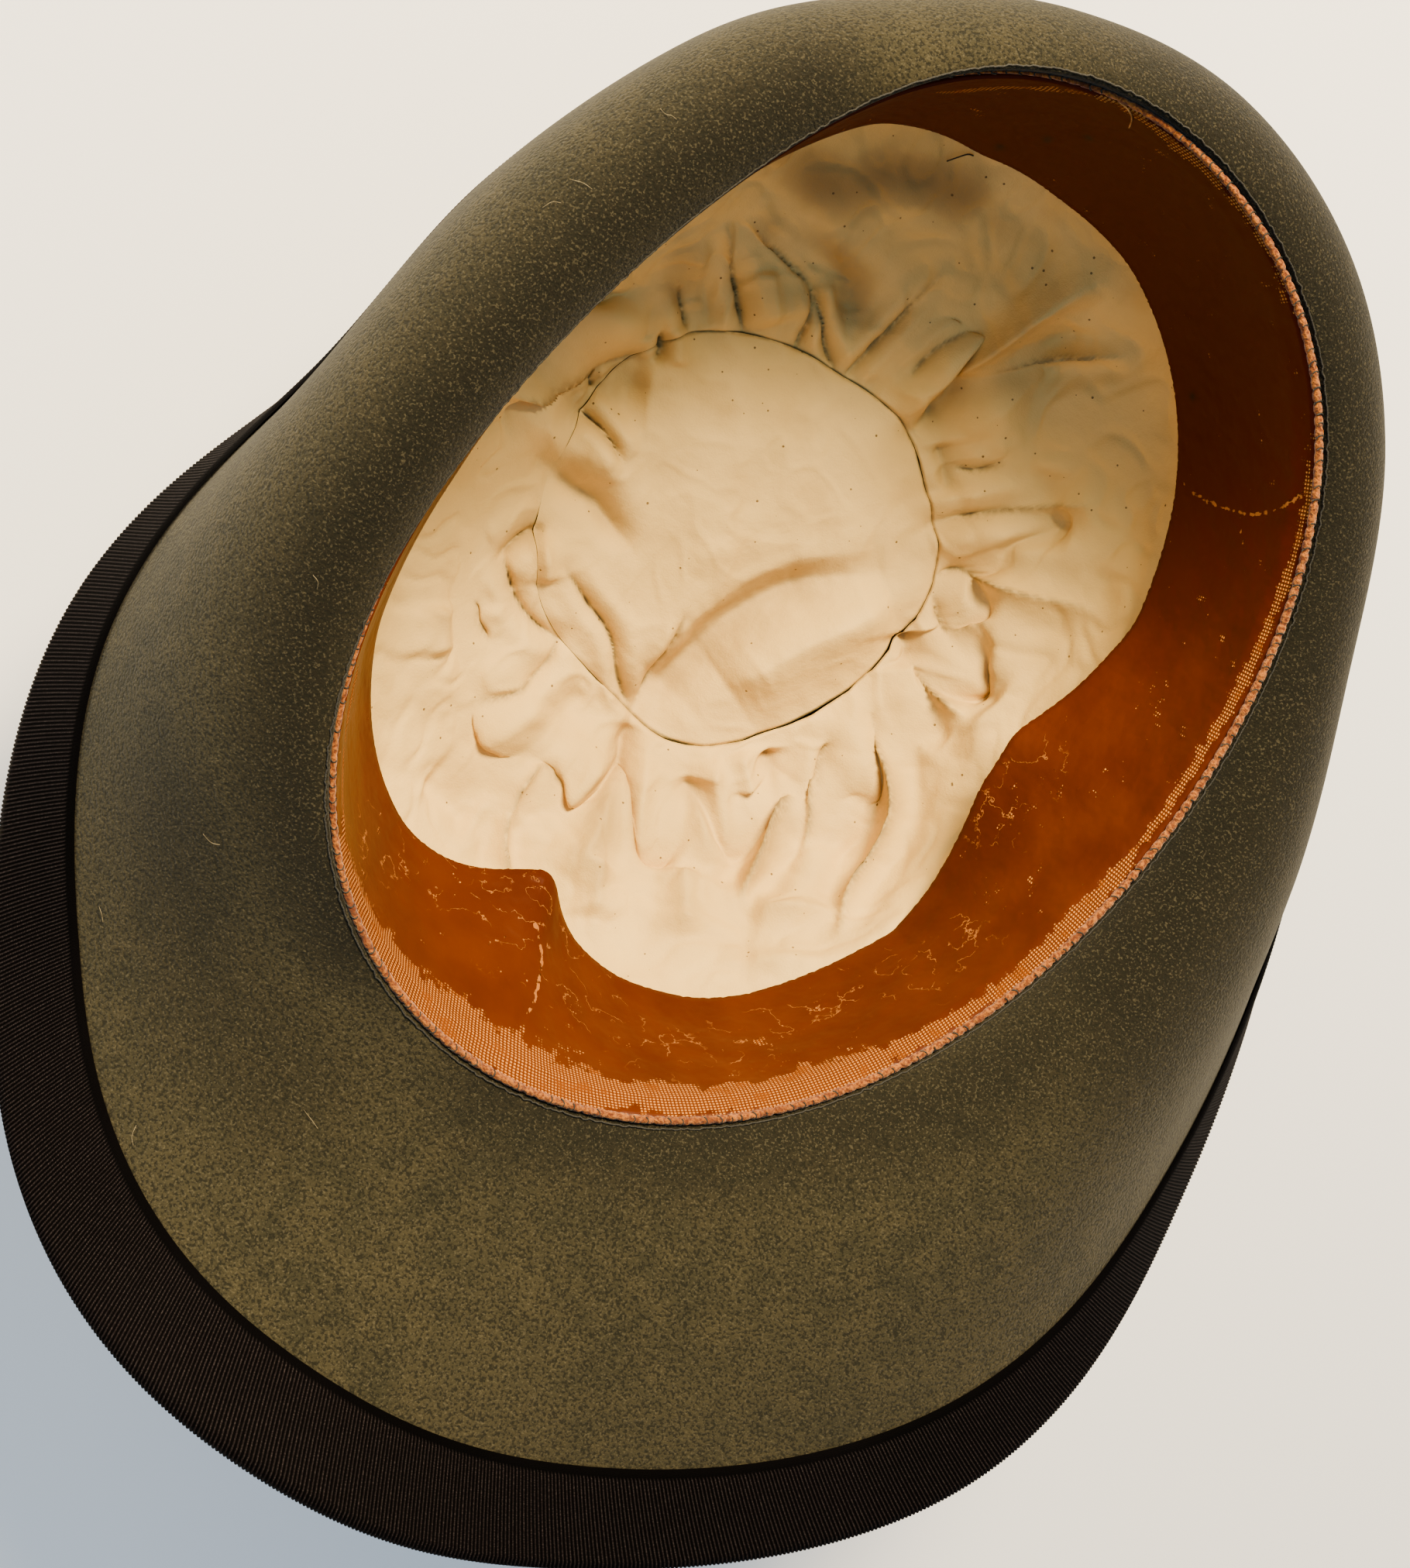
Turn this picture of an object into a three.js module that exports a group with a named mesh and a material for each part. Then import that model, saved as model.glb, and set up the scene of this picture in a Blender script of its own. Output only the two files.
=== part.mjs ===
// Alpine hat in wool felt, lying upside down on the ridge of its creased crown.
// Millimetres, +Z up. The wearer's front is -Y, back +Y, right +X and left -X.
import * as THREE from 'three';

// Sizes of the felt
const HEAD_HALF_WIDTH = 78;
const HEAD_HALF_LENGTH = 103;
const SEAM_HEIGHT = 112;
const SEAM_SADDLE = 3.3;
const FELT_THICKNESS = 2.2;
const CREST_WIDTH = 3.5;
const CURL_END = 0.75;

// Head oval as it lies, a little wider at the front, with its widest place behind the middle
const OVAL_EGG = -0.15;
const OVAL_SWAY = 4.6;
const OVAL_SQUEEZE = -2.4;
const OVAL_SHIFT = 8;

// Sizes of the sewn pieces
const GAP = 0.35;
const BINDING_WIDTH = 18;
const BINDING_THICKNESS = 1;
const BAND_THICKNESS = 1.1;
const LINING_THICKNESS = 1;
const LINING_HEIGHTS = [102, 88, 74, 56];
const LINING_SLACK = 2;
const LINING_SAG = 4;
const TIP_HEIGHT = 29;
const TIP_HALF_WIDTH = 43;
const TIP_HALF_LENGTH = 44;
const TIP_CENTRE_X = 3;
const TIP_CENTRE_Y = -7;
const TIP_RISE = 3;
const TIP_SHARES = [1, 0.7, 0.35];

const STEPS_ROUND = 60;

// Where the middle of the whole hat's box lies in the oval's own frame
const BOX_CENTRE_X = 23.337;
const BOX_CENTRE_Y = -37.558;

// Brim round the head, a row every 22.5 degrees from the wearer's right by the back, left and front:
// width, then the slope in degrees where it leaves the seam and at its edge, positive towards the crown
const BRIM = [
  { width: 72.5, start: -68, end: 65 },
  { width: 64.5, start: -39, end: 97 },
  { width: 61, start: -28, end: 104 },
  { width: 60, start: -18, end: 105 },
  { width: 59.5, start: -4, end: 106 },
  { width: 59, start: 17, end: 105 },
  { width: 61, start: 9, end: 107 },
  { width: 68, start: -36, end: 106 },
  { width: 76, start: -50, end: 106 },
  { width: 76, start: -60, end: 104 },
  { width: 75, start: -14, end: 76 },
  { width: 72, start: 22, end: 37 },
  { width: 76.5, start: 0, end: -22 },
  { width: 81.5, start: -31, end: -8 },
  { width: 83.5, start: -57, end: 2 },
  { width: 82.5, start: -77, end: 38 },
];

// Inside of the crown from the seam down to the ridge and up into the crease:
// height, then width and length as shares of the head oval
const CROWN = [
  { height: 112, across: 1, along: 1 },
  { height: 100, across: 0.993, along: 0.994 },
  { height: 88, across: 0.983, along: 0.985 },
  { height: 74, across: 0.966, along: 0.968 },
  { height: 56, across: 0.925, along: 0.93 },
  { height: 40, across: 0.87, along: 0.88 },
  { height: 26, across: 0.79, along: 0.815 },
  { height: 14, across: 0.705, along: 0.745 },
  { height: 5.5, across: 0.625, along: 0.68 },
  { height: 1.9, across: 0.56, along: 0.62 },
  { height: 1.9, across: 0.51, along: 0.575 },
  { height: 6.5, across: 0.42, along: 0.5 },
  { height: 14, across: 0.3, along: 0.4 },
  { height: 20.5, across: 0.14, along: 0.24 },
];
const CREASE_TOP = 22;

// Two finger dents at the front corners of the crown
const PINCHES = [
  { around: 238, height: 34, depth: 13, spread: 15, reach: 22 },
  { around: 302, height: 34, depth: 13, spread: 15, reach: 22 },
];

// How far the sweatband's free edge stands in from the seam, a row every 45 degrees from the right
const BAND_INSET = [8, 9, 11.5, 12, 12, 12.5, 9, 6];
const BAND_HEIGHT = 39;
const BAND_ROWS = [0, 0.12, 0.3, 0.55, 0.78, 1];
const BAND_BELOW_SEAM = 1;
const BAND_LEAVES_WALL = 1.5;
const BAND_LEAN = 1.5;
const LEAST_LOOSE = 0.5;

// Two places where the loose edge of the sweatband has buckled inwards
const BUCKLES = [
  { around: 356, inward: 10, spread: 9 },
  { around: 275, inward: 17, spread: 8 },
];

const rad = THREE.MathUtils.degToRad;

function between(values, turn) {
  const count = values.length;
  const place = (((turn / (2 * Math.PI)) * count) % count + count) % count;
  const index = Math.floor(place);
  const f = place - index;
  const [before, from, to, after] = [-1, 0, 1, 2].map((step) => values[(index + step + count) % count]);
  const linear = to - before;
  const square = 2 * before - 5 * from + 4 * to - after;
  const cube = 3 * from - before - 3 * to + after;
  return 0.5 * (2 * from + linear * f + square * f * f + cube * f * f * f);
}

function bump(turn, around, spread) {
  const away = (((THREE.MathUtils.radToDeg(turn) - around) % 360) + 540) % 360 - 180;
  return Math.exp(-(away * away) / (2 * spread * spread));
}

function headOval(turn) {
  const x = HEAD_HALF_WIDTH * Math.cos(turn) * (1 + OVAL_EGG * Math.sin(turn))
    + OVAL_SWAY * Math.cos(2 * turn) + OVAL_SQUEEZE * Math.cos(3 * turn);
  const y = HEAD_HALF_LENGTH * Math.sin(turn) + OVAL_SHIFT * Math.cos(2 * turn);
  return new THREE.Vector3(x, y, SEAM_HEIGHT - SEAM_SADDLE * Math.cos(2 * turn));
}

function outward(turn) {
  const step = 0.01;
  const along = headOval(turn + step).sub(headOval(turn - step));
  return new THREE.Vector3(along.y, -along.x, 0).normalize();
}

function brimWidth(turn) {
  return between(BRIM.map((row) => row.width), turn);
}

// The face of the brim that is seen from above, at a distance from the seam
function brimPoint(turn, distance) {
  const width = brimWidth(turn);
  const start = between(BRIM.map((row) => row.start), turn);
  const end = between(BRIM.map((row) => row.end), turn);
  const point = headOval(turn);
  const out = outward(turn);
  const steps = 40;
  const step = distance / steps;
  for (let i = 0; i < steps; i += 1) {
    const share = Math.min(((i + 0.5) * step) / width / CURL_END, 1);
    const slope = rad(start + (end - start) * share * (2 - share));
    point.addScaledVector(out, step * Math.cos(slope));
    point.z -= step * Math.sin(slope);
  }
  return point;
}

// The inside face of the crown in one row of its table
function crownPoint(turn, row) {
  const seam = headOval(turn);
  const lift = (seam.z - SEAM_HEIGHT) * (row.height / SEAM_HEIGHT) ** 2;
  const point = new THREE.Vector3(seam.x * row.across, seam.y * row.along, row.height + lift);
  for (const pinch of PINCHES) {
    const away = (row.height - pinch.height) / pinch.reach;
    const push = pinch.depth * bump(turn, pinch.around, pinch.spread) * Math.exp(-away * away);
    point.addScaledVector(outward(turn), -push);
  }
  return point;
}

// The inside face of the crown's wall at any height between the seam and the ridge
function wallPoint(turn, height, inward) {
  const index = Math.max(CROWN.findIndex((row) => row.height <= height), 1);
  const [above, below] = [CROWN[index - 1], CROWN[index]];
  const share = (above.height - height) / (above.height - below.height);
  const point = crownPoint(turn, above).lerp(crownPoint(turn, below), share);
  return point.addScaledVector(outward(turn), -inward);
}

const turns = Array.from({ length: STEPS_ROUND }, (_, i) => (i / STEPS_ROUND) * 2 * Math.PI);

function addTriangles(triangles, a, b, c, d) {
  triangles.push(a, b, c, a, c, d);
}

function toMesh(name, points, triangles, material) {
  const geometry = new THREE.BufferGeometry();
  const shift = new THREE.Vector3(BOX_CENTRE_X, BOX_CENTRE_Y, 0);
  const numbers = points.flatMap((point) => point.clone().sub(shift).toArray());
  geometry.setAttribute('position', new THREE.Float32BufferAttribute(numbers, 3));
  geometry.setIndex(triangles);
  geometry.computeVertexNormals();
  const mesh = new THREE.Mesh(geometry, material);
  mesh.name = name;
  return mesh;
}

// A closed ring: sections of the same number of points, each a closed outline, joined round the head.
// Facets that lie on each other are split the same way, from a lower row number to a higher one.
function ringMesh(name, sectionAt, rowNumbers, material) {
  const sections = turns.map(sectionAt);
  const size = sections[0].length;
  const triangles = [];
  for (let i = 0; i < STEPS_ROUND; i += 1) {
    const next = (i + 1) % STEPS_ROUND;
    for (let j = 0; j < size; j += 1) {
      const k = (j + 1) % size;
      const [a, b, c, d] = [i * size + j, next * size + j, next * size + k, i * size + k];
      if (rowNumbers[k] >= rowNumbers[j]) {
        addTriangles(triangles, a, b, c, d);
      } else {
        addTriangles(triangles, b, c, d, a);
      }
    }
  }
  return toMesh(name, sections.flat(), triangles, material);
}

// The way out of the wall, away from the rows' own face, at each point of rows that end in one middle point
function wallNormals(rows, middle) {
  return rows.map((row, r) => row.map((point, i) => {
    const ahead = row[(i + 1) % STEPS_ROUND];
    const back = row[(i + STEPS_ROUND - 1) % STEPS_ROUND];
    const up = rows[Math.max(r - 1, 0)][i];
    const down = r + 1 < rows.length ? rows[r + 1][i] : middle;
    return down.clone().sub(up).cross(ahead.clone().sub(back)).normalize();
  }));
}

// A closed dome: rows of points round the head that end in one middle point, with a wall of even thickness,
// pressed flat where it rests on the ground
function domeMesh(name, rows, middle, thickness, material) {
  const count = rows.length;
  const normals = wallNormals(rows, middle);
  const inner = rows.flat();
  const outer = rows.flatMap((row, r) => row.map((point, i) => {
    const behind = point.clone().addScaledVector(normals[r][i], thickness);
    behind.z = Math.max(behind.z, 0);
    return behind;
  }));
  const points = [...inner, middle, ...outer, middle.clone().add(new THREE.Vector3(0, 0, -thickness))];
  const half = inner.length + 1;
  const triangles = [];
  for (let i = 0; i < STEPS_ROUND; i += 1) {
    const next = (i + 1) % STEPS_ROUND;
    for (let r = 0; r + 1 < count; r += 1) {
      const [a, b] = [r * STEPS_ROUND, (r + 1) * STEPS_ROUND];
      addTriangles(triangles, a + i, a + next, b + next, b + i);
      addTriangles(triangles, half + a + i, half + b + i, half + b + next, half + a + next);
    }
    const last = (count - 1) * STEPS_ROUND;
    triangles.push(last + i, last + next, inner.length);
    triangles.push(half + last + next, half + last + i, half + inner.length);
    addTriangles(triangles, i, half + i, half + next, next);
  }
  return toMesh(name, points, triangles, material);
}

// The felt's rows from the edge of the brim to the seam, the first few under the binding, then down the crown
const BOUND_ROWS = 4;
const CURL_SHARES = [0.8, 0.6, 0.42, 0.26, 0.12, 0];

// The felt that shows between the crest of the brim and its binding
function bareWidth(turn) {
  return brimWidth(turn) - BINDING_WIDTH - CREST_WIDTH;
}

function feltRows() {
  const bound = Array.from({ length: BOUND_ROWS }, (_, i) => (i / (BOUND_ROWS - 1)) * BINDING_WIDTH);
  const distances = [
    ...bound.map((back) => (turn) => brimWidth(turn) - back),
    ...CURL_SHARES.map((share) => (turn) => CREST_WIDTH + share * bareWidth(turn)),
  ];
  const brim = distances.map((at) => turns.map((turn) => brimPoint(turn, at(turn))));
  return [...brim, ...CROWN.map((row) => turns.map((turn) => crownPoint(turn, row)))];
}

const felt = { rows: feltRows(), middle: new THREE.Vector3(0, 0, CREASE_TOP) };

// One piece of felt: the brim from its edge to the seam, then the crown down to its crease
function feltBody() {
  const wool = new THREE.MeshStandardMaterial({ color: 0x5d553c, roughness: 0.95, metalness: 0 });
  return domeMesh('felt_body', felt.rows, felt.middle, FELT_THICKNESS, wool);
}

// A ribbon folded over the edge of the brim, as wide on one face as on the other
function brimBinding() {
  const near = GAP;
  const far = GAP + BINDING_THICKNESS;
  const normals = wallNormals(felt.rows, felt.middle);
  const bound = Array.from({ length: BOUND_ROWS }, (_, r) => r);
  const sectionAt = (turn, i) => {
    const out = felt.rows[0][i].clone().sub(felt.rows[1][i]).normalize();
    const at = (row, beyond, off) => felt.rows[row][i].clone()
      .addScaledVector(out, beyond).addScaledVector(normals[row][i], off);
    const fold = (row, beyond) => (row === 0 ? beyond : 0);
    const seenOuter = bound.map((row) => at(row, 0, -far)).reverse();
    const seenInner = bound.map((row) => at(row, fold(row, near), -near));
    const backOuter = bound.map((row) => at(row, 0, FELT_THICKNESS + far));
    const backInner = bound.map((row) => at(row, fold(row, near), FELT_THICKNESS + near)).reverse();
    const folded = [at(0, far, 0), at(0, far, FELT_THICKNESS)];
    return [...seenOuter, ...folded, ...backOuter, ...backInner, ...seenInner].reverse();
  };
  const inward = bound.slice().reverse();
  const rowNumbers = [...inward, ...bound, ...inward, 0, 0, ...bound];
  const ribbon = new THREE.MeshStandardMaterial({ color: 0x211c1a, roughness: 0.8, metalness: 0 });
  return ringMesh('brim_binding', sectionAt, rowNumbers, ribbon);
}

function sheetRows(count) {
  const down = Array.from({ length: count }, (_, row) => row);
  return [...down, ...down.slice().reverse()];
}

function sheetSection(turn, rows, thickness) {
  const outer = rows.map(([height, inward]) => wallPoint(turn, height, inward));
  const inner = rows.map(([height, inward]) => wallPoint(turn, height, inward + thickness));
  return [...inner, ...outer.reverse()];
}

// How far the loose edge of the sweatband stands off the crown's wall
function bandStandOff(turn) {
  const wall = headOval(turn).sub(wallPoint(turn, SEAM_HEIGHT - BAND_HEIGHT, 0)).dot(outward(turn));
  const buckled = BUCKLES.reduce((sum, b) => sum + b.inward * bump(turn, b.around, b.spread), 0);
  return between(BAND_INSET, turn) - wall + buckled;
}

// A leather band sewn in along the seam, its other edge loose
function sweatband() {
  const sectionAt = (turn) => {
    const loose = Math.max(bandStandOff(turn) - BAND_LEAVES_WALL, LEAST_LOOSE);
    const place = (share) => {
      const behind = Math.min(share / BAND_ROWS[1], 1) * BAND_LEAVES_WALL;
      return [SEAM_HEIGHT - BAND_BELOW_SEAM - BAND_HEIGHT * share, GAP + behind + loose * share ** BAND_LEAN];
    };
    return sheetSection(turn, BAND_ROWS.map(place), BAND_THICKNESS);
  };
  const leather = new THREE.MeshStandardMaterial({ color: 0x8f430f, roughness: 0.4, metalness: 0 });
  return ringMesh('sweatband', sectionAt, sheetRows(BAND_ROWS.length), leather);
}

function tipRim(turn, grow) {
  const x = TIP_CENTRE_X + (TIP_HALF_WIDTH + grow) * Math.cos(turn);
  const y = TIP_CENTRE_Y + (TIP_HALF_LENGTH + grow) * Math.sin(turn);
  return new THREE.Vector3(x, y, TIP_HEIGHT);
}

// The lining's side: a strip from behind the sweatband down the wall, then slack to the seam round its tip
function liningSide() {
  const last = LINING_HEIGHTS.length - 1;
  const sectionAt = (turn) => {
    const onWall = LINING_HEIGHTS.map((height, i) => wallPoint(turn, height, i < last ? GAP : LINING_SLACK));
    const foot = tipRim(turn, GAP);
    const sagging = onWall[last].clone().lerp(foot, 0.5);
    sagging.z -= LINING_SAG;
    const under = [...onWall, sagging, foot];
    const inward = outward(turn).multiplyScalar(-LINING_THICKNESS);
    const upward = new THREE.Vector3(0, 0, LINING_THICKNESS);
    const over = under.map((point, i) => point.clone().add(i <= last ? inward : upward));
    return [...over, ...under.reverse()];
  };
  const satin = new THREE.MeshStandardMaterial({ color: 0xcdb88c, roughness: 0.55, metalness: 0 });
  return ringMesh('lining_side', sectionAt, sheetRows(LINING_HEIGHTS.length + 2), satin);
}

// The lining's tip: an oval of cloth over the crease, sewn to the side all round
function liningTip() {
  const middle = new THREE.Vector3(TIP_CENTRE_X, TIP_CENTRE_Y, TIP_HEIGHT + LINING_THICKNESS + TIP_RISE);
  const rows = TIP_SHARES.map((share) => turns.map((turn) => {
    const point = middle.clone().lerp(tipRim(turn, 0), share);
    point.z = middle.z - TIP_RISE * share * share;
    return point;
  }));
  const satin = new THREE.MeshStandardMaterial({ color: 0xd6c49b, roughness: 0.55, metalness: 0 });
  return domeMesh('lining_tip', rows, middle, LINING_THICKNESS, satin);
}

const hat = new THREE.Group();
hat.add(feltBody(), brimBinding(), sweatband(), liningSide(), liningTip());

export default hat;
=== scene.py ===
import math

import bpy
import numpy as np
from mathutils import Matrix, Vector, noise
from mathutils.bvhtree import BVHTree


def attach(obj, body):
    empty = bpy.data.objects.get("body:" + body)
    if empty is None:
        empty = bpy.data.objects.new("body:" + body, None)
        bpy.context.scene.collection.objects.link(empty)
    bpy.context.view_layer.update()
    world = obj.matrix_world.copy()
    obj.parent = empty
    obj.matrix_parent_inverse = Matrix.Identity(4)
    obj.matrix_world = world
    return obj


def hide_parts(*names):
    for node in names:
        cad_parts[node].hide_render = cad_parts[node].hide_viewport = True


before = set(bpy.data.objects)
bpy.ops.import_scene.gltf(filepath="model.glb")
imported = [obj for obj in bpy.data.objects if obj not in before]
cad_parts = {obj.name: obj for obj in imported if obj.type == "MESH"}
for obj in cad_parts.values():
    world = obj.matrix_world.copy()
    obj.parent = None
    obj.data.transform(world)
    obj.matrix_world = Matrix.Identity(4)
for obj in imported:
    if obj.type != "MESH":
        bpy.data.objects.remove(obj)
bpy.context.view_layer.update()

# Camera
# It stands half a metre above the upturned hat, over its left side, and looks steeply down into it.
# Its place and turn were fitted to the outlines of the brim, the binding and the head opening.
PHOTO_WIDTH = 1820
PHOTO_HEIGHT = 2024
SENSOR_MM = 36
LENS_MM = 57.9
EYE = Vector((-0.1994, 0.0108, 0.5263))
TO_THE_RIGHT = Vector((0.7124, 0.6475, 0.2707))
UPWARDS = Vector((-0.5847, 0.7609, -0.2815))
BACKWARDS = Vector((-0.3882, 0.0423, 0.9206))


def sight(across, down):
    """The way the camera looks at one place of the photograph."""
    step = SENSOR_MM / PHOTO_HEIGHT / LENS_MM
    right = TO_THE_RIGHT * ((across - PHOTO_WIDTH / 2) * step)
    up = UPWARDS * ((PHOTO_HEIGHT / 2 - down) * step)
    return (right + up - BACKWARDS).normalized()


def put_in_scene(name, data):
    made = bpy.data.objects.new(name, data)
    bpy.context.collection.objects.link(made)
    return made


lens = bpy.data.cameras.new("camera")
lens.lens = LENS_MM
lens.sensor_width = SENSOR_MM
lens.clip_start = 0.01
camera = put_in_scene("camera", lens)
facing = Matrix((TO_THE_RIGHT, UPWARDS, BACKWARDS)).transposed()
camera.matrix_world = Matrix.Translation(EYE) @ facing.to_4x4()
bpy.context.scene.camera = camera

# Floor and light
# A plain pale floor, a soft warm window light from behind the hat and from its left, a weaker and lower
# light at the same side, and a pale bluish room all round.
FLOOR_HALF = 4.0
FLOOR_BELOW = 0.0003
LIT_MIDDLE = Vector((0, 0, 0.07))


def new_finish(name, colour, roughness, sheen=0.0, gloss=0.5):
    """A material with a plain start: its colour, roughness, sheen and gloss."""
    finish = bpy.data.materials.new(name)
    finish.use_nodes = True
    shader = finish.node_tree.nodes["Principled BSDF"]
    shader.inputs["Base Color"].default_value = (*colour, 1)
    shader.inputs["Roughness"].default_value = roughness
    shader.inputs["Sheen Weight"].default_value = sheen
    shader.inputs["Specular IOR Level"].default_value = gloss
    return finish


def mesh_of(name, points, faces):
    mesh = bpy.data.meshes.new(name)
    mesh.from_pydata(points, [], faces)
    return mesh


corners = [(FLOOR_HALF * x, FLOOR_HALF * y, -FLOOR_BELOW) for x, y in ((-1, -1), (1, -1), (1, 1), (-1, 1))]
floor = put_in_scene("floor", mesh_of("floor", corners, [(0, 1, 2, 3)]))
floor.data.materials.append(new_finish("pale_floor", (0.91, 0.93, 1.0), 0.9))


def soft_light(name, place, size, power, colour):
    """A square light of a given size that points at the middle of the hat."""
    data = bpy.data.lights.new(name, "AREA")
    data.size = size
    data.energy = power
    data.color = colour
    light = put_in_scene(name, data)
    light.location = place
    light.rotation_mode = "QUATERNION"
    light.rotation_quaternion = (LIT_MIDDLE - Vector(place)).to_track_quat("-Z", "Y")


soft_light("window_light", (-0.42, 0.90, 0.98), 0.5, 84, (1.0, 0.76, 0.42))
soft_light("side_fill", (-1.25, 0.55, 0.28), 0.8, 30, (1.0, 0.92, 0.74))
room = bpy.data.worlds.new("room")
room.use_nodes = True
sky = room.node_tree.nodes["Background"].inputs
sky["Color"].default_value = (0.66, 0.84, 1.0, 1)
sky["Strength"].default_value = 0.68
bpy.context.scene.world = room

# Felt body
# One piece of wool felt, steamed and blocked, so that the brim runs into the crown without a seam.
# The hat lies upside down: the brim's underside and the inside of the crown are what is seen from above.
# Its numbers are in millimetres, the wearer's right at +X and the wearer's front at -Y.
MM = 0.001
BOX_CENTRE = np.array((23.337, -37.558, 0.0))
HEAD_HALF_WIDTH = 78
HEAD_HALF_LENGTH = 103
SEAM_HEIGHT = 112
SEAM_SADDLE = 3.3
OVAL_EGG = -0.15
OVAL_SWAY = 4.6
OVAL_SQUEEZE = -2.4
OVAL_SHIFT = 8
FELT_THICKNESS = 2.2
CURL_END = 0.75
CREASE_TOP = 22
FELT_COLUMNS = 360

# Width of the brim, then its slope where it leaves the seam and at its edge, every 22.5 degrees from +X
BRIM = (
    (72.5, -68, 65), (64.5, -39, 97), (61, -28, 104), (60, -18, 105),
    (59.5, -4, 106), (59, 17, 105), (61, 9, 107), (68, -36, 106),
    (76, -50, 106), (76, -60, 104), (75, -14, 76), (72, 22, 37),
    (76.5, 0, -22), (81.5, -31, -8), (83.5, -57, 2), (82.5, -77, 38),
)
# Height, then width and length as shares of the head oval, from the seam down the crown and up its crease
CROWN = (
    (112, 1, 1), (100, 0.993, 0.994), (88, 0.983, 0.985), (74, 0.966, 0.968), (56, 0.925, 0.93),
    (40, 0.87, 0.88), (26, 0.79, 0.815), (14, 0.705, 0.745), (5.5, 0.625, 0.68), (1.9, 0.56, 0.62),
    (1.9, 0.51, 0.575), (6.5, 0.42, 0.5), (14, 0.3, 0.4), (20.5, 0.14, 0.24),
)
# Finger dents at the front of the crown: degrees round, height, depth, spread in degrees, reach
PINCHES = ((238, 34, 13, 15, 22), (302, 34, 13, 15, 22))


def smooth_step(before, start, end, after, f):
    """A smooth run from start to end that also heeds the values before and after them."""
    linear = end - before
    square = 2 * before - 5 * start + 4 * end - after
    cube = 3 * start - before - 3 * end + after
    return 0.5 * (2 * start + linear * f + square * f**2 + cube * f**3)


def round_table(table, turn):
    """The columns of a table that runs once round the head, read at any turn."""
    values = np.array(table, float)
    place = np.mod(turn / (2 * np.pi) * len(values), len(values))
    index = np.floor(place).astype(int)
    near = [values[(index + step) % len(values)] for step in (-1, 0, 1, 2)]
    return smooth_step(*near, (place - index)[..., None]).T


def down_table(table, places):
    """The rows of a table, or of points, read at places between its first row and its last."""
    values = np.array(table, float)
    index = np.minimum(np.floor(places).astype(int), len(values) - 2)
    near = [values[np.clip(index + step, 0, len(values) - 1)] for step in (-1, 0, 1, 2)]
    return smooth_step(*near, (places - index).reshape(-1, *[1] * (values.ndim - 1)))


def turns_round(count):
    """So many turns, evenly round the head."""
    return np.arange(count) / count * 2 * np.pi


def fading(away, reach):
    """1 where away is nothing, fading smoothly to 0 beyond its reach."""
    return np.exp(-((away / reach) ** 2))


def bump_round(turn, around, spread):
    away = (np.degrees(turn) - around + 180) % 360 - 180
    return np.exp(-(away**2) / (2 * spread**2))


def head_oval(turn):
    """The line round the head where brim and crown meet."""
    x = HEAD_HALF_WIDTH * np.cos(turn) * (1 + OVAL_EGG * np.sin(turn))
    x = x + OVAL_SWAY * np.cos(2 * turn) + OVAL_SQUEEZE * np.cos(3 * turn)
    y = HEAD_HALF_LENGTH * np.sin(turn) + OVAL_SHIFT * np.cos(2 * turn)
    z = SEAM_HEIGHT - SEAM_SADDLE * np.cos(2 * turn)
    return np.stack((x, y, z), axis=-1)


def unit(vectors):
    return vectors / np.maximum(np.linalg.norm(vectors, axis=-1, keepdims=True), 1e-9)


def outward(turn):
    """The level way out of the head oval."""
    along = head_oval(turn + 0.01) - head_oval(turn - 0.01)
    return unit(np.stack((along[..., 1], -along[..., 0], 0 * along[..., 0]), axis=-1))


def brim_width(turn):
    return round_table(BRIM, turn)[0]


def brim_point(turn, distance):
    """The brim's seen face, at a distance from the seam."""
    width, start, end = round_table(BRIM, turn)
    point = head_oval(turn)
    out = outward(turn)
    steps = 40
    step = distance / steps
    for i in range(steps):
        share = np.clip((i + 0.5) * step / width / CURL_END, 0, 1)
        slope = np.radians(start + (end - start) * share * (2 - share))
        point = point + out * (step * np.cos(slope))[..., None]
        point[..., 2] -= step * np.sin(slope)
    return point


def crown_point(turn, height, across, along):
    """The crown's inside face at one height, with its finger dents."""
    seam = head_oval(turn)
    lift = (seam[..., 2] - SEAM_HEIGHT) * (height / SEAM_HEIGHT) ** 2
    point = np.stack((seam[..., 0] * across, seam[..., 1] * along, height + lift), axis=-1)
    for around, middle, depth, spread, reach in PINCHES:
        push = depth * bump_round(turn, around, spread) * fading(height - middle, reach)
        point = point - outward(turn) * push[..., None]
    return point


def row_normals(rows):
    """The way off a surface that is given as rows of points round the head."""
    ahead = np.roll(rows, -1, axis=1) - np.roll(rows, 1, axis=1)
    down = np.gradient(rows, axis=0)
    return unit(np.cross(down, ahead))


def softened(rows, rounds):
    """Rows of points with their sharp bends eased across the rows."""
    for _ in range(rounds):
        middle = (rows[:-2] + 2 * rows[1:-1] + rows[2:]) / 4
        rows = np.concatenate((rows[:1], middle, rows[-1:]))
    return rows


def place_in_scene(points):
    return (points - BOX_CENTRE) * MM


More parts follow.
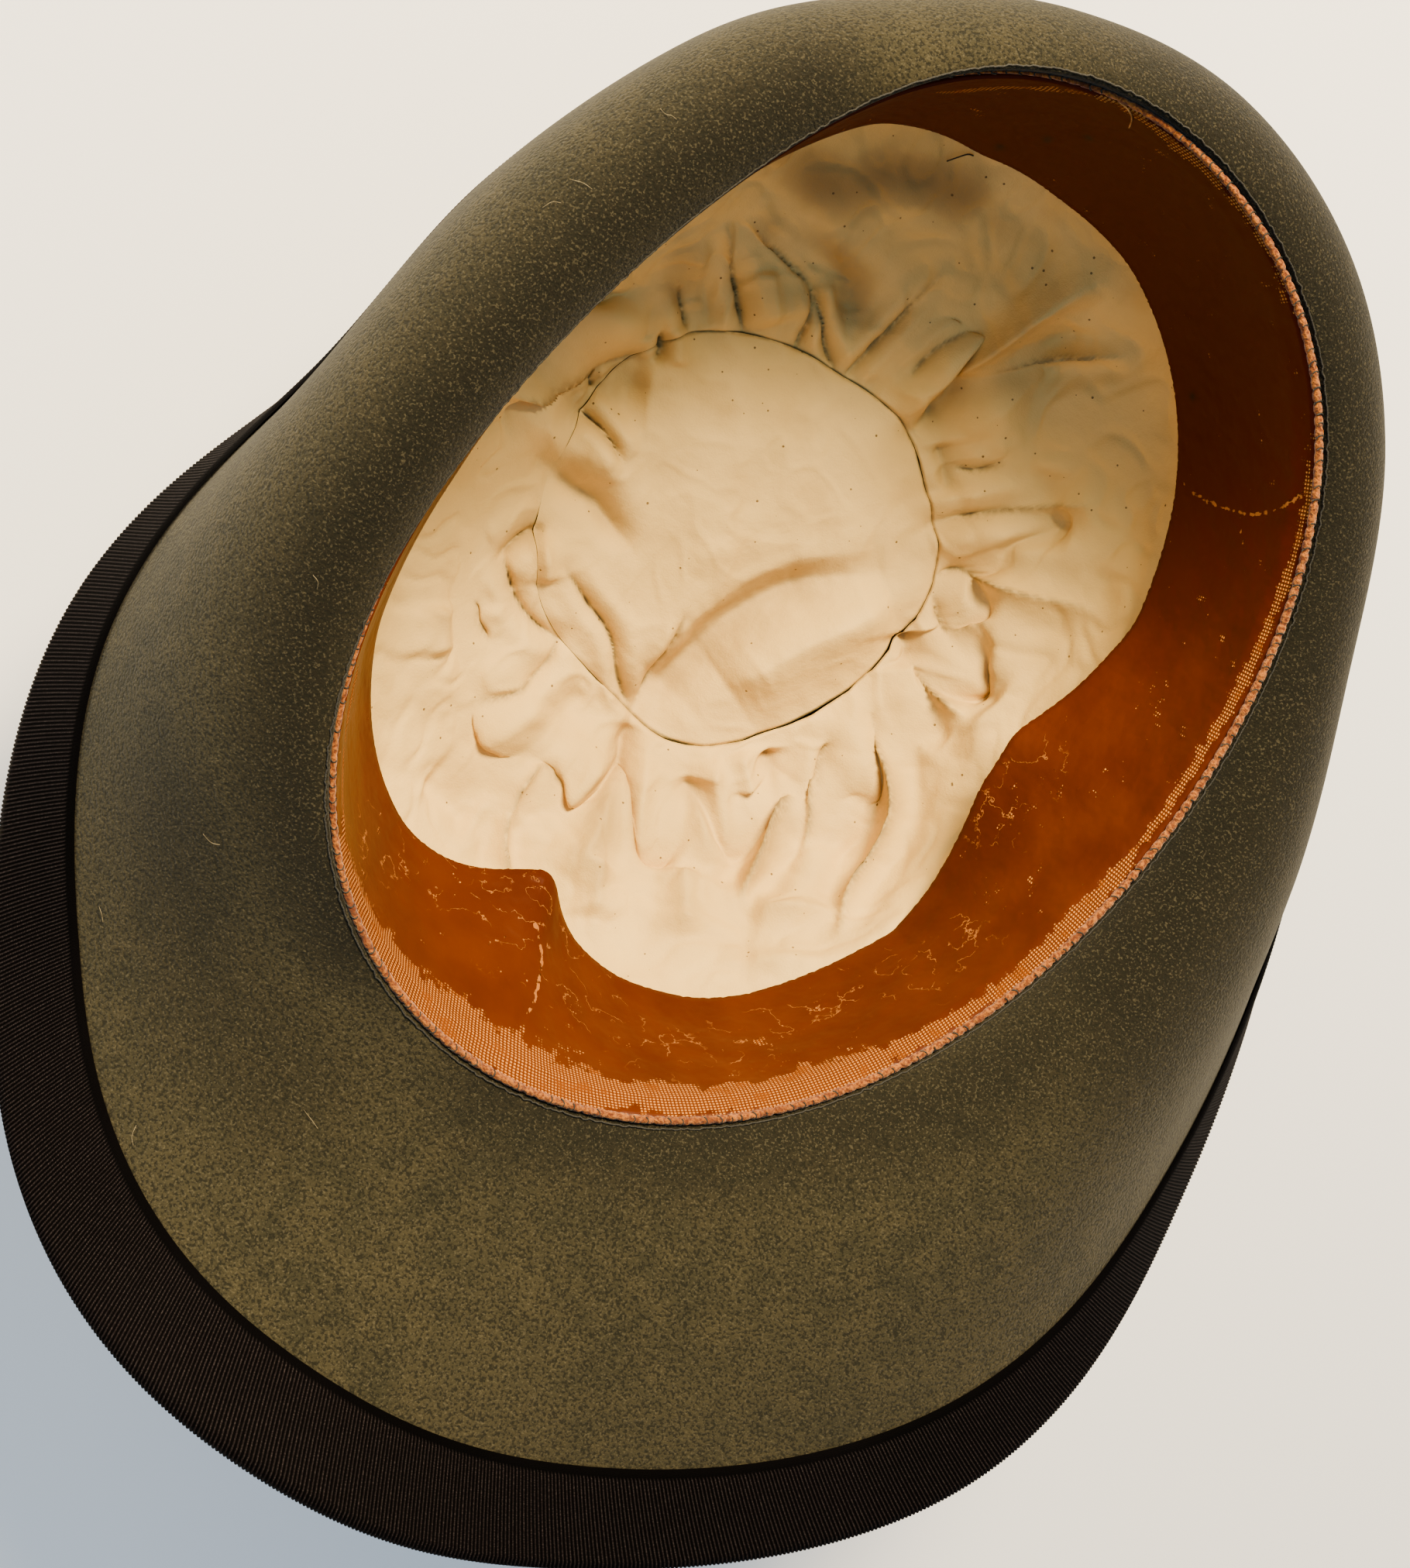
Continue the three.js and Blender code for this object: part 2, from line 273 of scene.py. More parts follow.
def surface(name, rows, closed=False, turned_over=False):
    """A surface through rows of points round the head. A closed one joins its last row to its first.
    Its texture map is in metres, along the rows and across them."""
    count, size = rows.shape[:2]
    spots = place_in_scene(rows)
    r, c = np.meshgrid(np.arange(count if closed else count - 1), np.arange(size), indexing="ij")
    below, ahead = (r + 1) % count, (c + 1) % size
    faces = np.stack((r * size + c, r * size + ahead, below * size + ahead, below * size + c), axis=-1)
    steps_along = np.linalg.norm(np.roll(spots, -1, axis=1) - spots, axis=-1).mean(axis=0)
    steps_down = np.linalg.norm(np.roll(spots, -1, axis=0) - spots, axis=-1).mean(axis=1)
    along = np.concatenate(((0,), np.cumsum(steps_along)))
    across = np.concatenate(((0,), np.cumsum(steps_down)))
    corners = [(along[c + dc], across[r + dr]) for dr, dc in ((0, 0), (0, 1), (1, 1), (1, 0))]
    chart = np.stack([np.stack(corner, axis=-1) for corner in corners], axis=2)
    if turned_over:
        faces = faces[..., ::-1]
        chart = chart[:, :, ::-1]
    mesh = mesh_of(name, spots.reshape(-1, 3).tolist(), faces.reshape(-1, 4).tolist())
    mesh.uv_layers.new(name="metres").data.foreach_set("uv", chart.reshape(-1).astype(float))
    mesh.polygons.foreach_set("use_smooth", [True] * len(mesh.polygons))
    return put_in_scene(name, mesh)


def dress(piece, finish, slot, *nodes):
    """Gives a piece its finish, lets it go with the hat and hides the solids it stands for."""
    piece.data.materials.append(finish)
    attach(piece, "root")
    if nodes:
        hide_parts(*nodes)


def add(tree, kind, inputs=(), **settings):
    """One more node in a material. A named input takes a number, a colour or another node's output."""
    made = tree.nodes.new(kind)
    for name, value in settings.items():
        setattr(made, name, value)
    for name, value in dict(inputs).items():
        if isinstance(value, bpy.types.NodeSocket):
            tree.links.new(value, made.inputs[name])
        else:
            made.inputs[name].default_value = value
    return made


def shader_input(name, value):
    tree = value.id_data
    tree.links.new(value, tree.nodes["Principled BSDF"].inputs[name])


def painted(finish, name):
    """A share that is painted on the points of a piece, from 0 to 1."""
    return add(finish.node_tree, "ShaderNodeAttribute", attribute_name=name).outputs["Fac"]


def grain(finish, per_metre, detail=2.0, place=None, stretch=None):
    """A soft cloudy pattern, so many clouds a metre, from 0 to 1."""
    tree = finish.node_tree
    place = place or add(tree, "ShaderNodeTexCoord").outputs["Object"]
    if stretch:
        place = add(tree, "ShaderNodeMapping", {"Vector": place, "Scale": stretch}).outputs["Vector"]
    inputs = {"Vector": place, "Scale": per_metre, "Detail": detail}
    return add(tree, "ShaderNodeTexNoise", inputs).outputs["Fac"]


def between(value, low, high):
    """0 below low, 1 above high and smooth between them."""
    inputs = {"Value": value, "From Min": low, "From Max": high}
    return add(value.id_data, "ShaderNodeMapRange", inputs, interpolation_type="SMOOTHSTEP").outputs["Result"]


def worked_out(operation, first, second=0.5):
    return add(first.id_data, "ShaderNodeMath", {0: first, 1: second}, operation=operation).outputs[0]


def times(first, second):
    return worked_out("MULTIPLY", first, second)


def plus(first, second):
    return worked_out("ADD", first, second)


# Where a mix node takes its two colours and gives its result
MIX_FIRST, MIX_SECOND, MIX_RESULT = 6, 7, 2


def tinted(share, first, second):
    """The first colour, going over to the second by a share."""
    first, second = ((*colour, 1) if isinstance(colour, tuple) else colour for colour in (first, second))
    inputs = {0: share, MIX_FIRST: first, MIX_SECOND: second}
    return add(share.id_data, "ShaderNodeMix", inputs, data_type="RGBA").outputs[MIX_RESULT]


def relief(height, deep, under=None):
    """Small relief as deep as that many metres, on top of another one."""
    inputs = {"Height": height, "Distance": deep, "Strength": 1.0}
    if under is not None:
        inputs["Normal"] = under
    return add(height.id_data, "ShaderNodeBump", inputs).outputs["Normal"]


def line_on(tree, places, smooth_by=4):
    """A smooth line on a surface, through places of the photograph."""
    spots = [tree.ray_cast(EYE, sight(*place))[0] for place in places]
    spots = np.array([spot for spot in spots if spot is not None])
    steps = np.linspace(0, len(spots) - 1, (len(spots) - 1) * smooth_by + 1)
    return down_table(spots, steps)


def tree_of(*made):
    """The faces of some pieces, ready to find where a line of sight meets them."""
    verts, faces = [], []
    for piece in made:
        start = len(verts)
        verts += [vertex.co for vertex in piece.data.vertices]
        faces += [[start + index for index in face.vertices] for face in piece.data.polygons]
    return BVHTree.FromPolygons(verts, faces)


def spots_of(piece):
    spots = np.empty(len(piece.data.vertices) * 3)
    piece.data.vertices.foreach_get("co", spots)
    return spots.reshape(-1, 3)


def away_from(spots, line):
    """How far each point lies from a line, in metres, and how far along the line, from 0 to 1."""
    best = np.full(len(spots), np.inf)
    along = np.zeros(len(spots))
    for i, (start, end) in enumerate(zip(line[:-1], line[1:])):
        way = end - start
        share = np.clip((spots - start) @ way / max(way @ way, 1e-12), 0, 1)
        far = np.linalg.norm(spots - start - share[:, None] * way, axis=1)
        nearer = far < best
        best[nearer] = far[nearer]
        along[nearer] = (i + share[nearer]) / (len(line) - 1)
    return best, along


def nearness(spots, line, reach):
    """1 on a line and fading to 0 away from it, at points given in metres; reach is in millimetres."""
    return fading(away_from(spots, line)[0], reach * MM)


def paint(piece, name, values):
    layer = piece.data.attributes.new(name, "FLOAT", "POINT")
    layer.data.foreach_set("value", np.clip(values, 0, 1).astype(float))


def mark(piece, tree, name, lines):
    """Paints marks on a piece. Each has its reach in millimetres, its strength and the places of the
    photograph that it runs through."""
    spots = spots_of(piece)
    marks = [strength * nearness(spots, line_on(tree, places), reach) for reach, strength, places in lines]
    paint(piece, name, np.max(marks, axis=0))


# Painted shade on the felt: lines by the seam and over its right side, along which the felt is drawn darker
PAINTED_SHADE = (
    (12, 1, ((1050, 118), (960, 168), (860, 240), (740, 340), (620, 470), (520, 600), (440, 720))),
    (12, 1, ((440, 720), (402, 820), (388, 920), (384, 1010), (400, 1090), (450, 1200))),
    (30, 1, ((1560, 150), (1640, 250), (1712, 420), (1736, 560), (1730, 710), (1676, 910), (1580, 1070),
             (1450, 1260))),
    (14, 0.85, ((1450, 1260), (1250, 1400), (1050, 1450), (850, 1460), (650, 1390))),
    (17, 0.55, ((230, 1080), (260, 1260), (360, 1400))),
)


def felt_finish():
    """Olive wool felt, a little cloudy, with dark and pale hairs, and painted shade by the seam and on its
    right.
    """
    finish = new_finish("olive_felt", (0.1, 0.085, 0.045), 0.95, sheen=0.06, gloss=0.1)
    clouds = grain(finish, 22, 3)
    mottle = grain(finish, 170, 5)
    hairs = grain(finish, 1650, 5)
    cloudy = tinted(between(clouds, 0.3, 0.7), (0.0172, 0.0156, 0.0076), (0.0262, 0.0225, 0.0108))
    mottled = tinted(between(mottle, 0.3, 0.75), cloudy, (0.0308, 0.0258, 0.0122))
    # Painted shade: the felt is drawn darker along the inner slopes by the seam and over its right side,
    # patchy with the mottle
    painted_shade = painted(finish, "painted_shade")
    uneven = times(painted_shade, between(plus(mottle, painted_shade), 0.3, 1.0))
    shaded_felt = tinted(times(uneven, 0.84), mottled, (0.0030, 0.0026, 0.0013))
    dark_hairs = between(hairs, 0.53, 0.41)
    dark = tinted(times(dark_hairs, 0.82), shaded_felt, (0.0055, 0.0054, 0.0026))
    pale_hairs = between(grain(finish, 2200, 4), 0.54, 0.66)
    pale = times(pale_hairs, 0.38)
    shader_input("Base Color", tinted(pale, dark, (0.076, 0.065, 0.037)))
    coarse = relief(mottle, 0.0003)
    shader_input("Normal", relief(hairs, 0.0004, coarse))
    return finish


felt_turns = turns_round(FELT_COLUMNS)
brim_shares = np.concatenate((np.linspace(1, 0.08, 42), np.linspace(0.065, 0, 6)))
brim_rows = [brim_point(felt_turns, brim_width(felt_turns) * share) for share in brim_shares]
crown_places = np.concatenate((np.linspace(0.04, 0.4, 5), np.linspace(0.5, 12.9, 70)))
crown_rows = [crown_point(felt_turns, *row) for row in down_table(CROWN, crown_places)]
crease = np.tile((0.0, 0.0, CREASE_TOP), (FELT_COLUMNS, 1))
crease_rows = [crown_rows[-1] * (1 - share) + crease * share for share in (0.35, 0.7, 0.97)]
felt_face = softened(np.array(brim_rows + crown_rows + crease_rows), 4)
felt_normals = row_normals(felt_face)
felt_back = felt_face + felt_normals * FELT_THICKNESS
felt_back[..., 2] = np.maximum(felt_back[..., 2], 0)
felt_body = surface("felt_hood", np.concatenate((felt_face, felt_back[::-1])), closed=True)
felt_tree = tree_of(felt_body)
felt_spots = spots_of(felt_body)
# Paints shade onto the felt along the lines listed above
mark(felt_body, felt_tree, "painted_shade", PAINTED_SHADE)
dress(felt_body, felt_finish(), "felt", "felt_body")

NAP_HAIRS = 110000
NAP_SEED = 3
HAIR_LEAN = (0.15, 0.6)
HAIR_LENGTH = (0.4, 1.1)
HAIR_HALF_WIDTH = (0.02, 0.045)


def felt_nap():
    """Short loose hairs that stand up from the felt on both faces."""
    dice = np.random.default_rng(NAP_SEED)
    faces = np.array([face.vertices[:] for face in felt_body.data.polygons])
    corners = felt_spots[faces]
    across, down = corners[:, 1] - corners[:, 0], corners[:, 3] - corners[:, 0]
    areas = np.linalg.norm(np.cross(across, down), axis=1)
    chosen = dice.choice(len(faces), NAP_HAIRS, p=areas / areas.sum())
    f, g = dice.random((2, NAP_HAIRS, 1))
    root = corners[chosen, 0] + across[chosen] * f + down[chosen] * g
    off = unit(np.cross(down[chosen], across[chosen]))
    turn = dice.uniform(0, 2 * np.pi, (NAP_HAIRS, 1))
    flat = unit(across[chosen]) * np.cos(turn) + unit(np.cross(off, across[chosen])) * np.sin(turn)
    lean = dice.uniform(*HAIR_LEAN, (NAP_HAIRS, 1))
    long = dice.uniform(*HAIR_LENGTH, (NAP_HAIRS, 1)) * MM
    thick = dice.uniform(*HAIR_HALF_WIDTH, (NAP_HAIRS, 1)) * MM
    tips = root + (flat * np.cos(lean) + off * np.sin(lean)) * long
    side = unit(np.cross(flat, off)) * thick
    verts = np.concatenate((root - side, root + side, tips))
    triangles = np.arange(3 * NAP_HAIRS).reshape(3, -1).T
    return put_in_scene("felt_nap", mesh_of("felt_nap", verts.tolist(), triangles.tolist()))


def hair_finish():
    """Loose wool hairs: most as dark as the felt, some pale."""
    finish = new_finish("wool_hairs", (0.06, 0.05, 0.03), 0.9, gloss=0.1)
    kind = between(grain(finish, 1900, 1), 0.50, 0.68)
    shader_input("Base Color", tinted(kind, (0.013, 0.0115, 0.006), (0.075, 0.064, 0.038)))
    return finish


dress(felt_nap(), hair_finish(), "felt")

# Brim binding
# A grosgrain ribbon, folded over the brim's edge and sewn down, as wide on one face as on the other.
# Its ribs run across it, a little askew because the ribbon is pulled round a curve.
BINDING_WIDTH = 18
BINDING_OFF = 1.15
RIB_PITCH = 0.8
RIB_DEPTH = 0.17
RIB_SHAPE = (-1.0, 0.35, 0.75, 0.35)
# Painted highlight on each rib: how much each of its points is drawn paler
RIB_HIGHLIGHT = (0, 0.03, 0.7, 0.03)
RIB_SKEW = math.tan(math.radians(16))
SELVEDGE = 1.7
SELVEDGE_DROP = 0.75
WORN_ROUND = (200, 34)
WORN_REACH = 0.33


def brim_frame(turn, distance):
    """A place on the brim's seen face, the way off that face and the way to the brim's edge."""
    point = brim_point(turn, distance)
    ahead = brim_point(turn + 0.004, distance) - brim_point(turn - 0.004, distance)
    to_edge = unit(brim_point(turn, distance + 0.2) - brim_point(turn, distance - 0.2))
    off = unit(np.cross(ahead, to_edge))
    return point, -off, to_edge


fine_turns = np.linspace(0, 2 * np.pi, 2881)
edge_line = brim_point(fine_turns, brim_width(fine_turns))
edge_length = np.concatenate(((0,), np.cumsum(np.linalg.norm(np.diff(edge_line, axis=0), axis=1))))
rib_count = round(edge_length[-1] / RIB_PITCH)
rib_columns = rib_count * len(RIB_SHAPE)
at_edge = np.arange(rib_columns) / rib_columns * edge_length[-1]


def binding_row(face, back, around_fold=0.0):
    """One row of the ribbon: on the seen face or on the hidden one, so far back from the brim's edge,
    or so many degrees round the fold between them."""
    fold = math.radians(around_fold)
    across = (back if face == "hidden" else -back) + (fold - math.pi / 2) * BINDING_OFF
    along = np.mod(at_edge + across * RIB_SKEW, edge_length[-1])
    turn = np.interp(along, edge_length, fine_turns)
    point, off, to_edge = brim_frame(turn, brim_width(turn) - back)
    bare = min(max((BINDING_WIDTH - back) / SELVEDGE, 0), 1)
    ribs = np.tile(RIB_SHAPE, rib_count) * RIB_DEPTH * (bare == 1)
    height = (BINDING_OFF - SELVEDGE_DROP * (1 - bare) ** 2 + ribs)[:, None]
    if face == "fold":
        reach = FELT_THICKNESS / 2 + height
        return point - off * FELT_THICKNESS / 2 + reach * (off * math.cos(fold) + to_edge * math.sin(fold))
    if face == "hidden":
        return point - off * (FELT_THICKNESS + height)
    return point + off * height


SEEN_BACKS = (BINDING_WIDTH, 17.4, 16.6, 16, 12, 8, 4, 0.6)
FOLD_TURNS = (0, 45, 90, 135, 180)
ribbon_backs = SEEN_BACKS + (0,) * len(FOLD_TURNS) + SEEN_BACKS[::-1]


def ribbon_finish():
    """Brown-black cotton and rayon ribbon, with painted highlights on its rib tops and its fold worn to olive
    brown.
    """
    finish = new_finish("grosgrain_ribbon", (0.003, 0.002, 0.002), 0.8, gloss=0.025)
    chart = add(finish.node_tree, "ShaderNodeUVMap", uv_map="metres").outputs["UV"]
    threads = grain(finish, 1.0, 2, chart, (2600, 5200, 1))
    crest = painted(finish, "crest")
    clouds = grain(finish, 30, 3)
    black = tinted(between(clouds, 0.35, 0.7), (0.0001, 0.0, 0.0), (0.0004, 0.0002, 0.0003))
    # Painted highlight: rib tops drawn paler brown, and paler still along the threads
    brown = tinted(crest, black, (0.0115, 0.0085, 0.0090))
    highlighted_ribs = tinted(times(between(threads, 0.48, 0.7), crest), brown, (0.048, 0.038, 0.038))
    worn = painted(finish, "worn")
    patchy = between(plus(worn, times(grain(finish, 260, 4), 0.7)), 0.75, 1.15)
    shader_input("Base Color", tinted(times(patchy, 0.5), highlighted_ribs, (0.024, 0.018, 0.009)))
    shader_input("Normal", relief(threads, 0.00016))
    return finish


ribbon_rows = np.array(
    [binding_row("seen", back) for back in SEEN_BACKS]
    + [binding_row("fold", 0, turn) for turn in FOLD_TURNS]
    + [binding_row("hidden", back) for back in SEEN_BACKS[::-1]]
)
binding = surface("edge_ribbon", ribbon_rows)
worn_side = bump_round(np.interp(at_edge, edge_length, fine_turns), *WORN_ROUND)
near_fold = fading(np.linspace(-1, 1, len(ribbon_rows)), WORN_REACH)
paint(binding, "worn", np.outer(near_fold, 0.25 + 0.75 * worn_side).reshape(-1))
on_ribs = [BINDING_WIDTH - back > SELVEDGE for back in ribbon_backs]
# Paints the share of highlight on the rib tops
paint(binding, "crest", np.outer(on_ribs, np.tile(RIB_HIGHLIGHT, rib_count)).reshape(-1))
dress(binding, ribbon_finish(), "binding", "brim_binding")

# Sweatband
# A band of glossy oiled leather cloth, 39 mm wide, sewn in along the seam with its other edge left loose.
# It has buckled in two places, has crazed where it was bent and is worn to its cloth along the seam.
GAP = 0.35
BAND_HEIGHT = 39
BAND_BELOW_SEAM = 1
BAND_THICKNESS = 0.9
BAND_LEAVES_WALL = 1.5
BAND_LEAN = 1.5
BAND_FRAY = 0.35
FULLY_OFF_WALL = 0.12
TUCKED_FLAT = 0.9
LEAST_LOOSE = 0.5
BAND_COLUMNS = 1000
# How far the loose edge stands in from the seam, by the degrees round the middle of the head oval
BAND_EDGE = (
    (1, 19), (13, 13), (26, 8), (45, 8), (63, 9), (81, 10), (95, 13), (109, 14), (125, 9), (140, 8),
    (160, 8), (180, 8.5), (205, 10), (227, 10), (243, 13), (253, 15), (259, 18), (264, 22), (269, 27),
    (274, 30), (277, 25), (280, 20), (284, 16), (289, 12), (299, 7), (314, 4), (324, 4), (334, 8),
    (343, 13), (350, 17),
)

wall_heights, wall_across, wall_along = down_table(CROWN, np.linspace(0, 9, 400))[::-1].T


def wall_point(turn, height, inward):
    """The crown's inside wall at any height above its ridge, moved level towards the middle."""
    across = np.interp(height, wall_heights, wall_across)
    along = np.interp(height, wall_heights, wall_along)
    point = crown_point(turn, np.broadcast_to(height, turn.shape).astype(float), across, along)
    return point - outward(turn) * np.broadcast_to(inward, turn.shape)[..., None]


oval_line = head_oval(fine_turns)
oval_degrees = np.degrees(np.unwrap(np.arctan2(oval_line[:, 1], oval_line[:, 0])))


def edge_inset(turn):
    """How far the sweatband's loose edge stands in from the seam."""
    degrees = np.interp(turn, fine_turns, oval_degrees)
    around, inset = np.array(BAND_EDGE, float).T
    near = degrees + np.arange(-2, 3)[:, None]
    return np.interp(near, around, inset, period=360).mean(axis=0)


# Where the turned felt hides the band's sewn edge: degrees round and spread, and how much lower it lies there
ROLL_HIDDEN_ROUND = (167, 36)
ROLL_SINKS = 7


def tucked(turn):
    """From 0 to 1, how far the band's sewn edge is tucked away behind the turned felt."""
    return np.minimum(1.5 * bump_round(turn, *ROLL_HIDDEN_ROUND), 1)


def wavering(places, often, lane=0.0):
    """A value that wanders smoothly from place to place, in a way of its own for each lane."""
    return np.array([noise.noise((place * often, lane, 0)) for place in places])


def band_rows(turns):
    """The band's seen face from its sewn edge down, then its frayed loose edge, then its back."""
    wall = head_oval(turns) - wall_point(turns, SEAM_HEIGHT - BAND_HEIGHT, 0)
    stands_off = edge_inset(turns) - (wall * outward(turns)).sum(axis=-1)
    loose = np.maximum(stands_off - BAND_LEAVES_WALL, LEAST_LOOSE)
    frayed = wavering(turns, 90)
    seen = [(share, 1) for share in np.linspace(0, 1, 34)]
    edge = [(1.004, 0.8), (1.007, 0.5), (1.004, 0.2)]
    back = [(share, 0) for share in np.linspace(1, 0, 9)]
    rows = []
    for share, deep in seen + edge + back:
        behind = min(share / FULLY_OFF_WALL, 1) * BAND_LEAVES_WALL * (1 - TUCKED_FLAT * tucked(turns))
        height = SEAM_HEIGHT - BAND_BELOW_SEAM - BAND_HEIGHT * share + frayed * BAND_FRAY * share**8
        height = height - ROLL_SINKS * tucked(turns) * (1 - share)
        inward = GAP + behind + loose * share**BAND_LEAN + deep * BAND_THICKNESS
        rows.append(wall_point(turns, height, inward))
    return np.array(rows)


CRAZED = (
    ((470, 1080), (520, 1120), (600, 1160), (690, 1170)),
    ((560, 1100), (700, 1130), (740, 1200), (770, 1280)),
    ((650, 1190), (800, 1330), (960, 1370)),
    ((960, 1330), (1060, 1300), (1120, 1260)),
    ((1180, 1270), (1250, 1200)),
    ((1280, 1050), (1330, 1000)),
)
CRACKS = (
    ((1526, 622), (1545, 640), (1580, 655), (1620, 664), (1660, 652), (1690, 632)),
    ((690, 1190), (700, 1240), (690, 1290), (680, 1310)),
    ((560, 1230), (640, 1215), (700, 1195)),
    ((1600, 664), (1604, 700)),
)
WORN_SEAM = (
    (6.5, 1, ((440, 1120), (500, 1230), (590, 1320), (700, 1385))),
    (5.0, 1, ((700, 1385), (850, 1418), (1000, 1410), (1130, 1370))),
    (2.4, 0.9, ((1130, 1370), (1300, 1270), (1450, 1120))),
    (1.1, 0.85, ((1450, 1120), (1560, 960), (1640, 800), (1690, 640))),
    (1.3, 0.75, ((1690, 640), (1700, 500), (1640, 330), (1520, 190), (1400, 120), (1220, 120), (1080, 180))),
    (1.9, 0.85, ((440, 1120), (420, 1030), (460, 870))),
)
DARK_SIDE = ((42, 0.95, ((1180, 140), (1380, 170), (1500, 280), (1590, 450), (1600, 580))),)
HOLES = ((1290, 190), (1352, 180), (1540, 512), (1405, 178))


def leather_finish():
    """Orange-brown glazed leather cloth: darker at the back, crazed, and worn to a pale ribbed weave."""
    finish = new_finish("oiled_leather", (0.3, 0.09, 0.01), 0.45, gloss=0.05)
    chart = add(finish.node_tree, "ShaderNodeUVMap", uv_map="metres").outputs["UV"]
    worn, dark, crazed, crack, hole = (
        painted(finish, name) for name in ("worn", "dark", "crazed", "crack", "hole")
    )
    clouds = grain(finish, 60, 4)
    glaze = tinted(between(clouds, 0.3, 0.75), (0.054, 0.0082, 0.0), (0.076, 0.0136, 0.0001))
    darkened = tinted(dark, glaze, (0.052, 0.0036, 0.0))
    veins = worked_out("ABSOLUTE", worked_out("SUBTRACT", grain(finish, 150, 7), 0.5))
    lines = between(veins, 0.010, 0.003)
    broken = between(plus(grain(finish, 210, 5), times(crazed, 0.2)), 0.62, 0.72)
    crazing = times(times(lines, broken), crazed)
    flakes = plus(times(grain(finish, 700, 6), 1.2), times(crack, 0.62))
    cracks = between(flakes, 1.10, 1.18)
    uneven = {"Vector": chart, "Distortion": 1.6, "Detail": 2.0, "Detail Scale": 0.6}
    weave, cross = (
        add(finish.node_tree, "ShaderNodeTexWave", {**uneven, "Scale": per_metre}, bands_direction=way)
        for per_metre, way in ((450.0, "X"), (520.0, "Y"))
    )
    threads = times(weave.outputs["Fac"], cross.outputs["Fac"])
    flaking = plus(times(grain(finish, 400, 6), 1.5), grain(finish, 95, 4))
    rubbed = plus(worn, flaking)
    bare = between(plus(rubbed, times(threads, 0.12)), 1.64, 1.76)
    cloth = tinted(between(threads, 0.05, 0.6), (0.09, 0.017, 0.0006), (0.58, 0.230, 0.048))
    stained = between(grain(finish, 260, 5), 0.54, 0.66)
    cloth = tinted(times(stained, 0.65), cloth, (0.16, 0.036, 0.001))
    light = worked_out("MAXIMUM", crazing, cracks)
    aged = tinted(times(light, 0.85), darkened, (0.34, 0.12, 0.024))
    shown = tinted(bare, aged, cloth)
    shader_input("Base Color", tinted(hole, shown, (0.01, 0.006, 0.004)))
    dullness = {"Value": bare, "To Min": 0.45, "To Max": 0.85}
    shader_input("Roughness", add(finish.node_tree, "ShaderNodeMapRange", dullness).outputs["Result"])
    ripples = relief(grain(finish, 90, 3), 0.0012)
    worn_relief = relief(times(threads, bare), 0.0003, ripples)
    shader_input("Normal", relief(light, 0.0002, worn_relief))
    return finish


sweatband = surface("leather_band", band_rows(turns_round(BAND_COLUMNS)), closed=True, turned_over=True)
band_tree = tree_of(sweatband)
mark(sweatband, band_tree, "worn", WORN_SEAM)
mark(sweatband, band_tree, "dark", DARK_SIDE)
mark(sweatband, band_tree, "crazed", [(9, 1, places) for places in CRAZED])
mark(sweatband, band_tree, "crack", [(0.75, 1, places) for places in CRACKS])
mark(sweatband, band_tree, "hole", [(0.9, 1, (place, place)) for place in HOLES])
dress(sweatband, leather_finish(), "sweatband", "sweatband")

# Edge of the sweatband
# The cloth side of the band is rolled over its sewn edge, and black thread whips it to the felt all round.
# Each stitch pinches the roll, so its edge is scalloped.
STITCH_PITCH = 2.4
ROLL_RADIUS = 0.85
ROLL_SIDES = 8
PINCH_DEPTH = 0.24
THREAD_RADIUS = 0.15
SEAM_THREAD_RADIUS = 0.17
STITCH_SLANT = 0.9
STITCH_SEED = 5
WORN_AWAY = 0.2
ROLL_SHRINKS = 0.9
ROLL_INSET = 0.5
ROLL_DROP = 0.25
COLUMNS_PER_STITCH = 8

oval_length = np.concatenate(((0,), np.cumsum(np.linalg.norm(np.diff(oval_line, axis=0), axis=1))))
stitch_count = round(oval_length[-1] / STITCH_PITCH)


def turn_at(length):
    """The turn round the head at a length along the seam."""
    return np.interp(np.mod(length, oval_length[-1]), oval_length, fine_turns)


def roll_radius(length):
    """The rolled edge is flat where the turned felt hides it."""
    return ROLL_RADIUS * (1 - ROLL_SHRINKS * tucked(turn_at(length)))


def roll_frame(length):
    """The middle of the rolled edge at a length along the seam, with the way out."""
    turn = turn_at(length)
    out = outward(turn)
    point = head_oval(turn) - out * (GAP + ROLL_INSET * roll_radius(length) / ROLL_RADIUS)[:, None]
    point[..., 2] -= ROLL_DROP + ROLL_SINKS * tucked(turn)
    return point, out


def tube(name, paths, radius, sides):
    """Thin round threads, each through its own points, in millimetres, closed at both ends."""
    verts, faces = [], []
    for path in paths:
        along = unit(np.gradient(path, axis=0))
        side = unit(np.cross(along, (0.31, 0.17, 0.93)))
        other = np.cross(along, side)
        start = len(verts)
        for i in range(sides):
            angle = 2 * math.pi * i / sides
            ring = path + radius * (side * math.cos(angle) + other * math.sin(angle))
            verts.extend(place_in_scene(ring).tolist())
        size = len(path)
        for i in range(sides):
            near, far = start + i * size, start + (i + 1) % sides * size
            faces.extend([near + j, near + j + 1, far + j + 1, far + j] for j in range(size - 1))
        faces.append([start + i * size for i in range(sides)][::-1])
        faces.append([start + i * size + size - 1 for i in range(sides)])
    mesh = mesh_of(name, verts, faces)
    mesh.polygons.foreach_set("use_smooth", [len(face) == 4 for face in faces])
    return put_in_scene(name, mesh)


